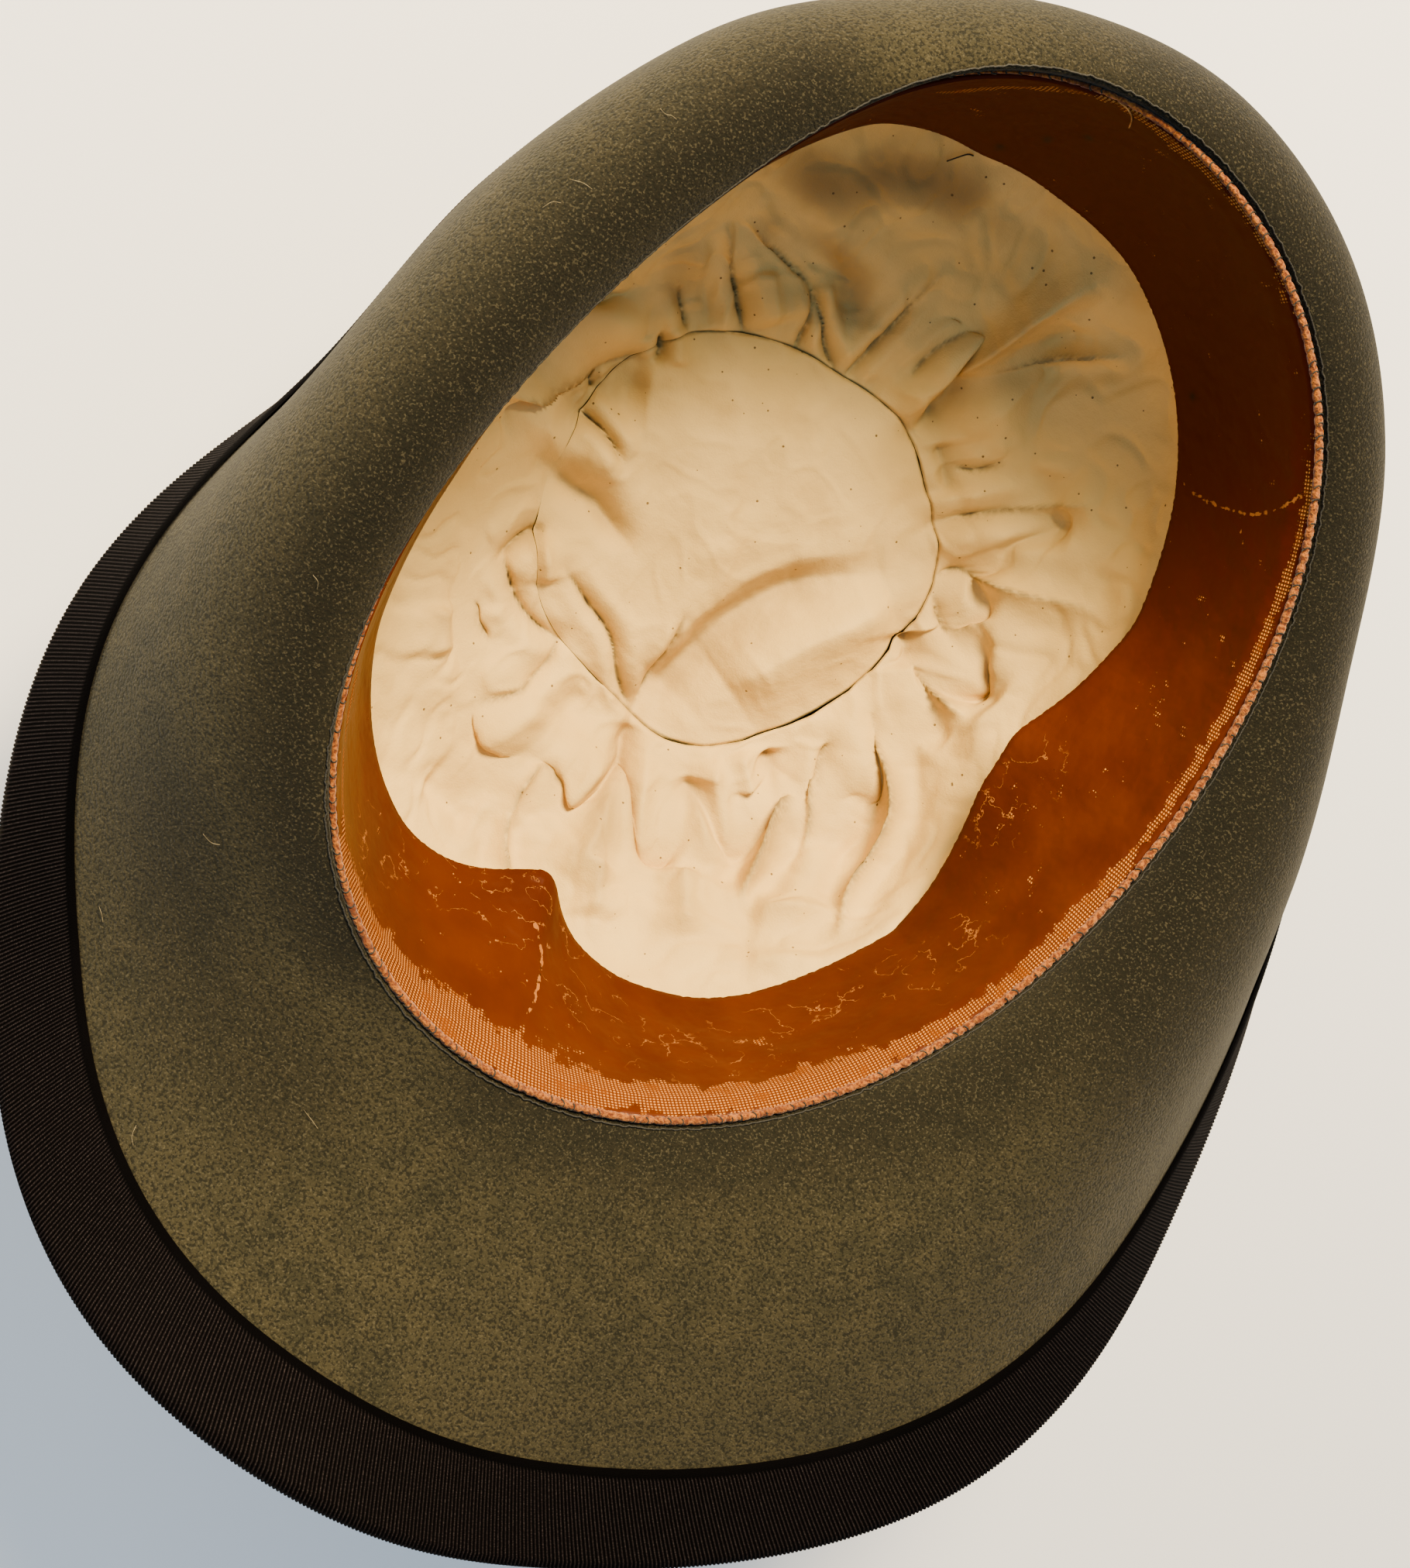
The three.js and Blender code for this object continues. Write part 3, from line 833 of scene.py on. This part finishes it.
def rolled_edge():
    columns = np.arange(stitch_count * COLUMNS_PER_STITCH)
    length = columns / len(columns) * oval_length[-1]
    point, out = roll_frame(length)
    deep = PINCH_DEPTH * (1 + wavering(length, 0.31, 5.7))
    pinch = 1 - deep * np.abs(np.cos(columns / COLUMNS_PER_STITCH * math.pi)) ** 6
    rows = []
    for i in range(ROLL_SIDES):
        angle = 2 * math.pi * i / ROLL_SIDES
        way = out * math.cos(angle) + np.array((0, 0, 1)) * math.sin(angle)
        rows.append(point + way * (roll_radius(length) * pinch)[:, None])
    return surface("rolled_edge", np.array(rows), closed=True)


def cloth_edge_finish():
    """Rubbed orange cotton, its threads pale on top and brown in between."""
    finish = new_finish("rubbed_cloth", (0.5, 0.22, 0.08), 0.85, sheen=0.2, gloss=0.2)
    fibres = grain(finish, 1700, 3)
    patches = grain(finish, 120, 3)
    orange = tinted(between(fibres, 0.35, 0.65), (0.09, 0.017, 0.0004), (0.31, 0.098, 0.009))
    brown = between(patches, 0.55, 0.75)
    shader_input("Base Color", tinted(brown, orange, (0.09, 0.018, 0.001)))
    shader_input("Normal", relief(fibres, 0.0005))
    return finish


dress(rolled_edge(), cloth_edge_finish(), "sweatband")


def whip_stitches():
    """Black stitches over the rolled edge, each with its own slant and place, a few of them worn away."""
    dice = np.random.default_rng(STITCH_SEED)
    paths = []
    for i in range(stitch_count):
        length = (i + dice.uniform(-0.12, 0.12)) / stitch_count * oval_length[-1]
        slant = STITCH_SLANT * dice.uniform(0.6, 1.4)
        if dice.random() < WORN_AWAY:
            continue
        angles = np.radians(np.linspace(-70, dice.uniform(120, 175), 9))
        point, out = roll_frame(length + slant * np.sin(angles))
        reach = roll_radius(length + 0 * angles) * (1 - PINCH_DEPTH) + THREAD_RADIUS
        up = np.stack((0 * angles, 0 * angles, np.sin(angles)), axis=-1)
        paths.append(point + reach[:, None] * (out * np.cos(angles)[:, None] + up))
    return tube("whip_stitches", paths, THREAD_RADIUS, 5)


def thread_finish():
    finish = new_finish("black_thread", (0.010, 0.010, 0.008), 0.7, gloss=0.3)
    twist = grain(finish, 2500, 2)
    shader_input("Base Color", tinted(twist, (0.006, 0.006, 0.005), (0.03, 0.028, 0.022)))
    shader_input("Normal", relief(twist, 0.0002))
    return finish


black_thread = thread_finish()
dress(whip_stitches(), black_thread, "binding")


def seam_thread():
    """The thread that runs from stitch to stitch in the corner between the roll and the felt."""
    length = np.linspace(0, oval_length[-1], stitch_count * 4 + 1)
    point, off, to_edge = brim_frame(turn_at(length), 0.7 + 0.45 * wavering(length, 0.9, 3.1))
    height = 0.05 + 0.12 * wavering(length, 0.5, 9.7)
    return tube("seam_thread", [point + off * height[:, None]], SEAM_THREAD_RADIUS, 6)


dress(seam_thread(), black_thread, "binding")

# Lining
# Cream satin in two pieces: a side strip, sewn in behind the sweatband, and an oval tip over the crease.
# The side is longer than the way it spans, so it has slipped and lies in folds round the seam of the tip.
LINING_HEIGHTS = (102, 88, 74, 56)
LINING_SLACK = 2
LINING_SAG = 4
LINING_THICKNESS = 1
TIP_HEIGHT = 29
TIP_RISE = 3
TIP_CENTRE = (3, -7)
SEAM_GAP = 0.05
SEAM_DEEP = 0.55
SEAM_WIDE = 0.4
SEAM_PAINTED_SHADE = 0.7
SEAM_HIDDEN_AT = (690, 690)
SEAM_HIDDEN_SPREAD = 0.9
SIDE_COLUMNS = 640
TIP_COLUMNS = 320
SIDE_ROWS = 150
TIP_ROWS = 90
# The seam round the tip, by places of the photograph; the left side is lost under the folds
TIP_SEAM = (
    (881, 430), (910, 427), (968, 432), (1026, 450), (1084, 485), (1131, 514), (1165, 546), (1178, 563),
    (1189, 609), (1203, 667), (1211, 733), (1200, 768), (1171, 809), (1125, 861), (1078, 899), (1026, 928),
    (968, 951), (910, 963), (860, 958), (824, 930), (801, 902), (749, 850), (720, 820), (692, 765),
    (690, 690), (712, 610), (752, 535), (810, 465),
)


def on_level(across, down, height):
    """Where a line of sight comes through a level plane, in millimetres of the head oval."""
    way = sight(across, down)
    far = (height * MM - EYE.z) / way.z
    return np.array(EYE + way * far) / MM + BOX_CENTRE


seam_spots = np.array([on_level(*place, TIP_HEIGHT + LINING_THICKNESS) for place in TIP_SEAM])
seam_from_middle = seam_spots[:, :2] - TIP_CENTRE
seam_angles = np.arctan2(seam_from_middle[:, 1], seam_from_middle[:, 0])
seam_reaches = np.linalg.norm(seam_from_middle, axis=1)


def tip_reach(angle):
    """How far the tip's seam lies from the middle of the tip."""
    near = angle + np.linspace(-0.1, 0.1, 7)[:, None]
    return np.interp(near, seam_angles, seam_reaches, period=2 * np.pi).mean(axis=0)


def tip_rim(angle, grow):
    reach = tip_reach(angle) + grow
    x = TIP_CENTRE[0] + reach * np.cos(angle)
    y = TIP_CENTRE[1] + reach * np.sin(angle)
    return np.stack((x, y, np.full(angle.shape, TIP_HEIGHT + LINING_THICKNESS)), axis=-1)


NEAR_SEAM = np.array((0.986, 0.991, 0.9945, 0.9975, 1))
side_shares = np.concatenate((np.linspace(0, 0.98, SIDE_ROWS - len(NEAR_SEAM)), NEAR_SEAM))
tip_rest = np.linspace(0.96, 0.001, TIP_ROWS - len(NEAR_SEAM))
tip_shares = np.concatenate((1 - (1 - NEAR_SEAM[::-1]) * 2, tip_rest))


def lining_side_rows():
    turns = turns_round(SIDE_COLUMNS)
    slack = [GAP] * (len(LINING_HEIGHTS) - 1) + [LINING_SLACK]
    held = [wall_point(turns, *place) for place in zip(LINING_HEIGHTS, np.add(slack, LINING_THICKNESS))]
    foot = tip_rim(turns, SEAM_GAP)
    sagging = (held[-1] + foot) / 2
    sagging[:, 2] -= LINING_SAG - LINING_THICKNESS
    main = np.array(held + [sagging, foot])
    spans = np.linalg.norm(np.diff(main, axis=0), axis=-1).mean(axis=1)
    lengths = np.concatenate(((0,), np.cumsum(spans)))
    places = np.interp(side_shares * lengths[-1], lengths, np.arange(len(main)))
    return down_table(main, places)


def lining_tip_rows():
    rim = tip_rim(turns_round(TIP_COLUMNS), 0)
    middle = np.array((*TIP_CENTRE, TIP_HEIGHT + LINING_THICKNESS + TIP_RISE), float)
    rows = np.array([middle + (rim - middle) * share for share in tip_shares])
    rows[..., 2] = middle[2] - TIP_RISE * (tip_shares**2)[:, None]
    return rows


# Folds of the lining: how far each stands up (or dips, below 0) and how wide it is, in millimetres, and the
# places of the photograph that it runs through
SOFT_FOLDS = (
    (-5.5, 8.0, ((822, 935), (850, 900), (890, 858), (935, 818), (985, 783), (1060, 752), (1145, 742))),
    (2.4, 6.5, ((800, 895), (850, 842), (905, 795), (965, 752), (1050, 722), (1130, 712))),
    (4.0, 8.0, ((940, 885), (1000, 845), (1090, 800), (1150, 775))),
    (-2.4, 3.2, ((690, 590), (737, 627), (767, 645), (790, 674), (816, 707))),
    (2.2, 5.5, ((668, 535), (715, 560), (760, 590), (795, 618))),
    (4.0, 7.0, ((700, 470), (760, 440), (835, 420))),
    (-3.0, 7.0, ((720, 512), (780, 500), (840, 505))),
    (2.0, 3.0, ((698, 690), (702, 752))),
    (-2.0, 4.0, ((905, 310), (915, 420))),
    (2.0, 5.0, ((990, 350), (1000, 420))),
    (-2.0, 5.0, ((1080, 290), (1110, 350), (1095, 420))),
    (3.6, 5.0, ((1160, 540), (1196, 505), (1235, 462), (1262, 440))),
    (-5.0, 4.0, ((1182, 556), (1220, 522), (1266, 472), (1335, 404), (1418, 357))),
    (3.0, 8.0, ((1240, 560), (1300, 500), (1390, 420))),
    (-2.4, 4.0, ((1215, 570), (1232, 640))),
    (2.2, 4.0, ((1250, 690), (1380, 672))),
    (-3.5, 5.0, ((1176, 815), (1182, 862))),
    (3.0, 5.0, ((1225, 850), (1290, 910))),
    (2.6, 4.5, ((1098, 960), (1110, 1040), (1078, 1120))),
    (-2.2, 4.0, ((970, 1172), (1020, 1180), (1075, 1176))),
    (-2.8, 3.2, ((994, 965), (1002, 1002), (1022, 1030))),
    (3.4, 3.0, ((836, 975), (826, 1025), (832, 1075), (850, 1096), (866, 1070))),
    (-3.4, 2.6, ((820, 940), (805, 985), (800, 1035), (812, 1092))),
    (2.6, 3.2, ((912, 975), (924, 1028), (944, 1100))),
    (-2.6, 3.4, ((888, 1000), (902, 1060), (918, 1110))),
    (2.2, 3.0, ((952, 965), (965, 1020))),
    (3.4, 4.0, ((735, 1020), (756, 1004), (782, 970))),
    (-3.4, 5.5, ((795, 990), (776, 1050), (750, 1102), (722, 1135))),
    (-2.4, 4.5, ((880, 1120), (884, 1210))),
    (-2.4, 4.0, ((764, 1120), (758, 1190))),
    (2.0, 6.0, ((560, 1000), (620, 1060))),
    (-2.2, 6.0, ((555, 775), (548, 850))),
    (2.6, 6.0, ((640, 950), (700, 900))),
    (-2.0, 5.0, ((640, 1000), (700, 950), (760, 900))),
    (-2.4, 6.0, ((1330, 690), (1290, 860), (1250, 1010))),
    (-2.6, 5.0, ((1180, 1180), (1100, 1240), (960, 1250))),
)
# Thin creases with a swelling beside them, in the same way
SHARP_CREASES = (
    (-1.0, 0.8, ((822, 925), (846, 884), (868, 840), (882, 800))),
    (-1.2, 1.1, ((728, 735), (760, 778), (790, 824), (802, 880), (818, 918))),
    (-2.0, 1.0, ((752, 530), (770, 546), (788, 570), (804, 597))),
    (-2.6, 1.8, ((668, 514), (700, 505), (760, 476), (815, 459))),
    (-2.0, 1.1, ((758, 478), (769, 500))),
    (-2.4, 1.2, ((851, 428), (852, 448), (849, 468))),
    (-2.2, 1.6, ((640, 720), (668, 697), (702, 681))),
    (-1.4, 1.3, ((648, 716), (664, 766), (690, 804), (720, 824))),
    (-1.2, 1.6, ((720, 826), (702, 862), (662, 890), (610, 904))),
    (-1.4, 1.2, ((875, 360), (887, 424))),
    (-1.8, 1.2, ((935, 292), (949, 353), (960, 430))),
    (-0.8, 0.6, ((965, 287), (997, 316), (1025, 344), (1048, 368))),
    (-1.2, 0.9, ((1048, 368), (1046, 405), (1028, 452))),
    (-1.4, 0.9, ((1049, 368), (1064, 430), (1077, 478))),
    (-1.7, 1.0, ((1089, 491), (1149, 427), (1215, 352))),
    (-1.3, 1.1, ((1140, 521), (1172, 482), (1209, 448), (1243, 430))),
    (-1.8, 1.2, ((1290, 481), (1356, 473), (1450, 460))),
    (-1.4, 1.2, ((1240, 603), (1265, 607), (1294, 601))),
    (-1.8, 1.4, ((1196, 679), (1250, 666), (1290, 660), (1402, 650))),
    (-1.8, 1.8, ((1212, 742), (1245, 737), (1300, 764), (1402, 786))),
    (-1.8, 1.6, ((1205, 770), (1232, 822), (1292, 812))),
    (-2.6, 1.8, ((1180, 862), (1206, 894), (1244, 926))),
    (-2.6, 1.6, ((1124, 925), (1138, 966), (1149, 1020), (1148, 1062), (1126, 1104), (1098, 1154),
                 (1087, 1206))),
    (-2.0, 1.2, ((1066, 955), (1055, 1010), (1038, 1086))),
    (-3.0, 1.6, ((1027, 1030), (992, 1088), (958, 1155))),
    (-2.0, 2.2, ((660, 1050), (670, 1020), (698, 998), (734, 1020))),
    (-1.6, 1.2, ((657, 1048), (652, 1090), (656, 1128))),
    (-1.4, 1.8, ((612, 778), (612, 806), (630, 828))),
)
FOLD_STRENGTH = 1.5
WANDER = 0.5
WANDER_PER_METRE = 110
SATIN_CLEAR = 0.6
FELT_REACH = 14
HOLLOW_MIDDLE = (2, -2, 75)
CREASE_SHADE_REACH = 0.5
DEEP_HOLLOW = 3
LEVEL_FROM = 0.6
LEVEL_OVER = 0.38
FREE_FROM = 0.27
FREE_OVER = 0.15
SIDE_LENGTH = 95
TIP_LENGTH = 45
FOLD_SEED = 4
noise.seed_set(FOLD_SEED)


def fold_shape(sharp, height, width, away):
    """The height of a fold at a distance from its line, in millimetres: one rounded ridge or dip, or a
    thin crease with a lower swelling on both sides."""
    if not sharp:
        return 1.35 * height * np.exp(-((away / width) ** 1.5))
    crease_line = 1.3 * height * np.exp(-away / (0.7 * width))
    swelling = -0.6 * height * np.exp(-(((away - 3.0 * width) / (1.9 * width)) ** 2))
    return crease_line + swelling


def fold_heights(spots, tree):
    """How far each point of the lining is moved off its smooth shape, in millimetres, and two shares of
    painted shade, from 0 to 1: one along the sharp creases, one in the soft hollows."""
    moved, painted_crease_shade, painted_hollow_shade = np.zeros((3, len(spots)))
    folds = [(False, *fold) for fold in SOFT_FOLDS] + [(True, *fold) for fold in SHARP_CREASES]
    for sharp, height, width, places in folds:
        line = line_on(tree, places, 6)
        wander = np.array([noise.noise_vector(Vector(spot) * WANDER_PER_METRE) for spot in line])
        line = line + wander * WANDER * MM
        reach = (width * 5.5 if sharp else width * 2.6) * MM
        low, high = line.min(axis=0) - reach, line.max(axis=0) + reach
        near = np.nonzero(np.all((spots > low) & (spots < high), axis=1))[0]
        away, along = away_from(spots[near], line)
        away = away / MM
        taper = np.clip(np.minimum(along + 0.08, 1.08 - along) / 0.3, 0.15, 1)
        moved[near] += FOLD_STRENGTH * fold_shape(sharp, height, width, away) * taper
        # Painted shade along the thin crease
        if sharp:
            painted_crease_shade[near] = np.maximum(painted_crease_shade[near], fading(away, CREASE_SHADE_REACH) * taper)
        # Painted shade in the dips, fuller the deeper they are
        if height < 0:
            wide = 2 * width if sharp else width
            hollow_shade_share = min(-height / DEEP_HOLLOW, 1) * fading(away, wide) * taper
            painted_hollow_shade[near] = np.maximum(painted_hollow_shade[near], hollow_shade_share)
    return moved, painted_crease_shade, painted_hollow_shade


CREASE_COUNT = 120
CREASE_SEED = 11
TIP_CRUMPLE = 0.4


def small_creases(spots):
    """Straight creases left all over the satin where it was crushed, in millimetres."""
    dice = np.random.default_rng(CREASE_SEED)
    moved = np.zeros(len(spots))
    for _ in range(CREASE_COUNT):
        middle = spots[dice.integers(len(spots))]
        way = unit(dice.normal(size=3) * (1, 1, 0.5))
        long, wide = dice.uniform(7, 22), dice.uniform(3.5, 9)
        height = dice.uniform(0.4, 1.2) * dice.choice((-1, 1)) * wide / 5.5
        apart = (spots - middle) / MM
        along = apart @ way
        away = np.linalg.norm(apart - along[:, None] * way, axis=1)
        moved += height * np.clip(1 - away / wide, 0, 1) * np.clip(1.3 - np.abs(along) / long, 0, 1) ** 1.5
    return moved


def crumple(spots):
    """Small slack waves all over the satin, in millimetres."""
    waves = []
    for spot in spots:
        spot = Vector(spot)
        broad = noise.noise(spot * 55 + noise.noise_vector(spot * 25) * 0.8)
        fine = 1 - abs(noise.noise(spot * 120 + noise.noise_vector(spot * 60) * 0.7)) * 2
        waves.append(broad * 1.2 + max(fine - 0.5, 0) * 1.3)
    return np.array(waves) + small_creases(spots)


def move_points(piece, spots):
    piece.data.vertices.foreach_set("co", spots.reshape(-1))
    piece.data.update()


def lay_in_folds(piece, tree, hold, level, slack):
    """Moves a piece of the lining into its folds. Hold says for each point how free it is to move,
    level how far it moves straight up rather than off its surface, and slack how crumpled it is."""
    spots = spots_of(piece)
    normals = np.empty(len(spots) * 3)
    piece.data.vertices.foreach_get("normal", normals)
    ways = unit(normals.reshape(-1, 3) * (1 - level)[:, None] + np.array((0, 0, 1)) * level[:, None])
    moved, painted_crease_shade, painted_hollow_shade = fold_heights(spots, tree)
    # Paints shade along the creases and into the hollows
    paint(piece, "painted_crease_shade", painted_crease_shade * hold)
    paint(piece, "painted_hollow_shade", painted_hollow_shade * hold)
    shifts = (moved + crumple(spots) * slack) * hold * MM
    spots = spots + ways * shifts[:, None]
    middle = Vector(place_in_scene(np.array(HOLLOW_MIDDLE)))
    for i, spot in enumerate(spots):
        spot = Vector(spot)
        way = (middle - spot).normalized()
        felt_is = felt_tree.ray_cast(spot - way * SATIN_CLEAR * MM, way, FELT_REACH * MM)[0]
        if felt_is is not None:
            spots[i] = felt_is + way * SATIN_CLEAR * MM
    move_points(piece, spots)


STAINED = (
    (7, 1, ((900, 262), (960, 215), (1060, 235), (1160, 225), (1240, 250))),
    (5, 0.45, ((1000, 290), (1080, 330), (1110, 400))),
    (5, 0.45, ((1240, 250), (1340, 330))),
    (5, 0.45, ((880, 300), (870, 380))),
)


def satin_finish(name):
    """Cream satin, yellowed in blotches, stained near the top, with painted shade in its hollows and along
    its sharp creases and seam, with a fine uneven grain and small dark specks."""
    finish = new_finish(name, (0.72, 0.56, 0.33), 0.6, gloss=0.12)
    clouds = grain(finish, 30, 4)
    cream = tinted(between(clouds, 0.3, 0.72), (0.64, 0.440, 0.145), (0.76, 0.535, 0.188))
    blotches = between(grain(finish, 70, 5), 0.52, 0.75)
    yellowed = tinted(times(blotches, 0.35), cream, (0.50, 0.310, 0.09))
    stain = painted(finish, "stain")
    # Painted shade in the hollows, drawn darker together with the real stain from here on
    painted_hollow_shade = painted(finish, "painted_hollow_shade")
    stain = plus(stain, times(painted_hollow_shade, 0.5))
    ragged = times(stain, between(plus(grain(finish, 90, 5), stain), 0.55, 1.1))
    stained = tinted(times(ragged, 0.8), yellowed, (0.22, 0.130, 0.043))
    # Painted shade along the sharp creases and the tip's seam, broken up by a fine grain
    painted_crease_shade = painted(finish, "painted_crease_shade")
    creased = times(painted_crease_shade, between(grain(finish, 500, 3), 0.25, 0.6))
    stained = tinted(times(creased, 0.7), stained, (0.075, 0.045, 0.02))
    tree = finish.node_tree
    place = add(tree, "ShaderNodeTexCoord").outputs["Object"]
    spots = add(tree, "ShaderNodeTexVoronoi", {"Vector": place, "Scale": 560.0, "Randomness": 1.0})
    sizes = add(tree, "ShaderNodeSeparateColor", {"Color": spots.outputs["Color"]}).outputs["Red"]
    small = times(between(sizes, 0.80, 1.0), 0.16)
    inside = worked_out("LESS_THAN", spots.outputs["Distance"], small)
    shader_input("Base Color", tinted(times(inside, 0.85), stained, (0.09, 0.05, 0.02)))
    threads = grain(finish, 3000, 2)
    crushed = relief(grain(finish, 350, 3), 0.00025)
    shader_input("Normal", relief(threads, 0.00008, crushed))
    return finish


lining_side = surface("side_satin", lining_side_rows(), turned_over=True)
lining_tip = surface("tip_satin", lining_tip_rows(), turned_over=True)
lining_tree = tree_of(lining_side, lining_tip)
side_share = np.repeat(side_shares, SIDE_COLUMNS)
side_level = np.clip((side_share - LEVEL_FROM) / LEVEL_OVER, 0, 1)
side_hold = np.clip((side_share - FREE_FROM) / FREE_OVER, 0, 1)
tip_share = np.repeat(tip_shares, TIP_COLUMNS)
tip_free = np.ones(len(tip_share))
for piece, hold, level, slack in (
    (lining_side, side_hold, side_level, 1),
    (lining_tip, tip_free, tip_free, TIP_CRUMPLE),
):
    lay_in_folds(piece, lining_tree, hold, level, slack)


def sink_into_seam(piece, from_seam):
    """Turns the edge of the satin down where the tip is sewn to the side, at distances in millimetres."""
    spots = spots_of(piece)
    place = spots / MM + BOX_CENTRE
    hidden = on_level(*SEAM_HIDDEN_AT, TIP_HEIGHT)
    from_hidden = np.arctan2(place[:, 1] - TIP_CENTRE[1], place[:, 0] - TIP_CENTRE[0])
    from_hidden -= math.atan2(hidden[1] - TIP_CENTRE[1], hidden[0] - TIP_CENTRE[0])
    from_hidden = (from_hidden + np.pi) % (2 * np.pi) - np.pi
    shows = 1 - np.exp(-((from_hidden / SEAM_HIDDEN_SPREAD) ** 4))
    near_seam = shows * fading(from_seam, SEAM_WIDE)
    spots[:, 2] -= SEAM_DEEP * MM * near_seam
    # Painted shade along the sunk seam, added to the crease shade
    painted_crease_shade = np.empty(len(spots))
    piece.data.attributes["painted_crease_shade"].data.foreach_get("value", painted_crease_shade)
    piece.data.attributes["painted_crease_shade"].data.foreach_set("value", np.maximum(painted_crease_shade, SEAM_PAINTED_SHADE * near_seam))
    move_points(piece, spots)


sink_into_seam(lining_side, (1 - side_share) * SIDE_LENGTH)
sink_into_seam(lining_tip, (1 - tip_share) * TIP_LENGTH)
for piece, slot in ((lining_side, "lining_side"), (lining_tip, "lining_tip")):
    mark(piece, lining_tree, "stain", STAINED)
    dress(piece, satin_finish(slot + "_satin"), slot, slot)

# Stray threads
# Lint that clings to the felt, a frayed end of the sweatband's cloth and a black end of sewing thread.
# Each lies loose on the piece under it, through places of the photograph.
LINT = (
    ((852, 140), (858, 147), (866, 149), (873, 154)),
    ((738, 232), (752, 236), (764, 244)),
    ((700, 268), (712, 260), (724, 262)),
    ((128, 1170), (131, 1178), (133, 1190)),
    ((392, 1432), (402, 1444), (410, 1456)),
    ((404, 742), (410, 750), (409, 760)),
    ((176, 1452), (170, 1464), (172, 1478)),
    ((262, 1076), (272, 1086), (284, 1090)),
)
FRAYED_END = ((1444, 132), (1452, 140), (1458, 152), (1457, 165))
BLACK_END = ((1222, 208), (1234, 203), (1247, 199), (1256, 201))


def loose_thread(tree, places, lift):
    """The points of a thread that lies on a surface and rises in the middle, in millimetres."""
    line = line_on(tree, places) / MM + BOX_CENTRE
    rise = np.sin(np.linspace(0, np.pi, len(line))) * lift
    line[:, 2] += 0.15 + rise
    return line


def lint_finish(name, dull, bright):
    """A loose thread, dull and bright by turns along its length."""
    finish = new_finish(name, bright, 0.85, gloss=0.2)
    shader_input("Base Color", tinted(between(grain(finish, 900, 2), 0.35, 0.65), dull, bright))
    return finish


pale_thread = lint_finish("pale_lint", (0.13, 0.105, 0.06), (0.27, 0.22, 0.13))
orange_thread = lint_finish("frayed_cloth", (0.25, 0.09, 0.012), (0.50, 0.24, 0.07))
dress(tube("lint", [loose_thread(felt_tree, places, 0.5) for places in LINT], 0.035, 4), pale_thread, "felt")
dress(tube("frayed_end", [loose_thread(band_tree, FRAYED_END, 0.9)], 0.16, 6), orange_thread, "sweatband")
dress(tube("black_end", [loose_thread(lining_tree, BLACK_END, 0.8)], 0.16, 6), black_thread, "sweatband")
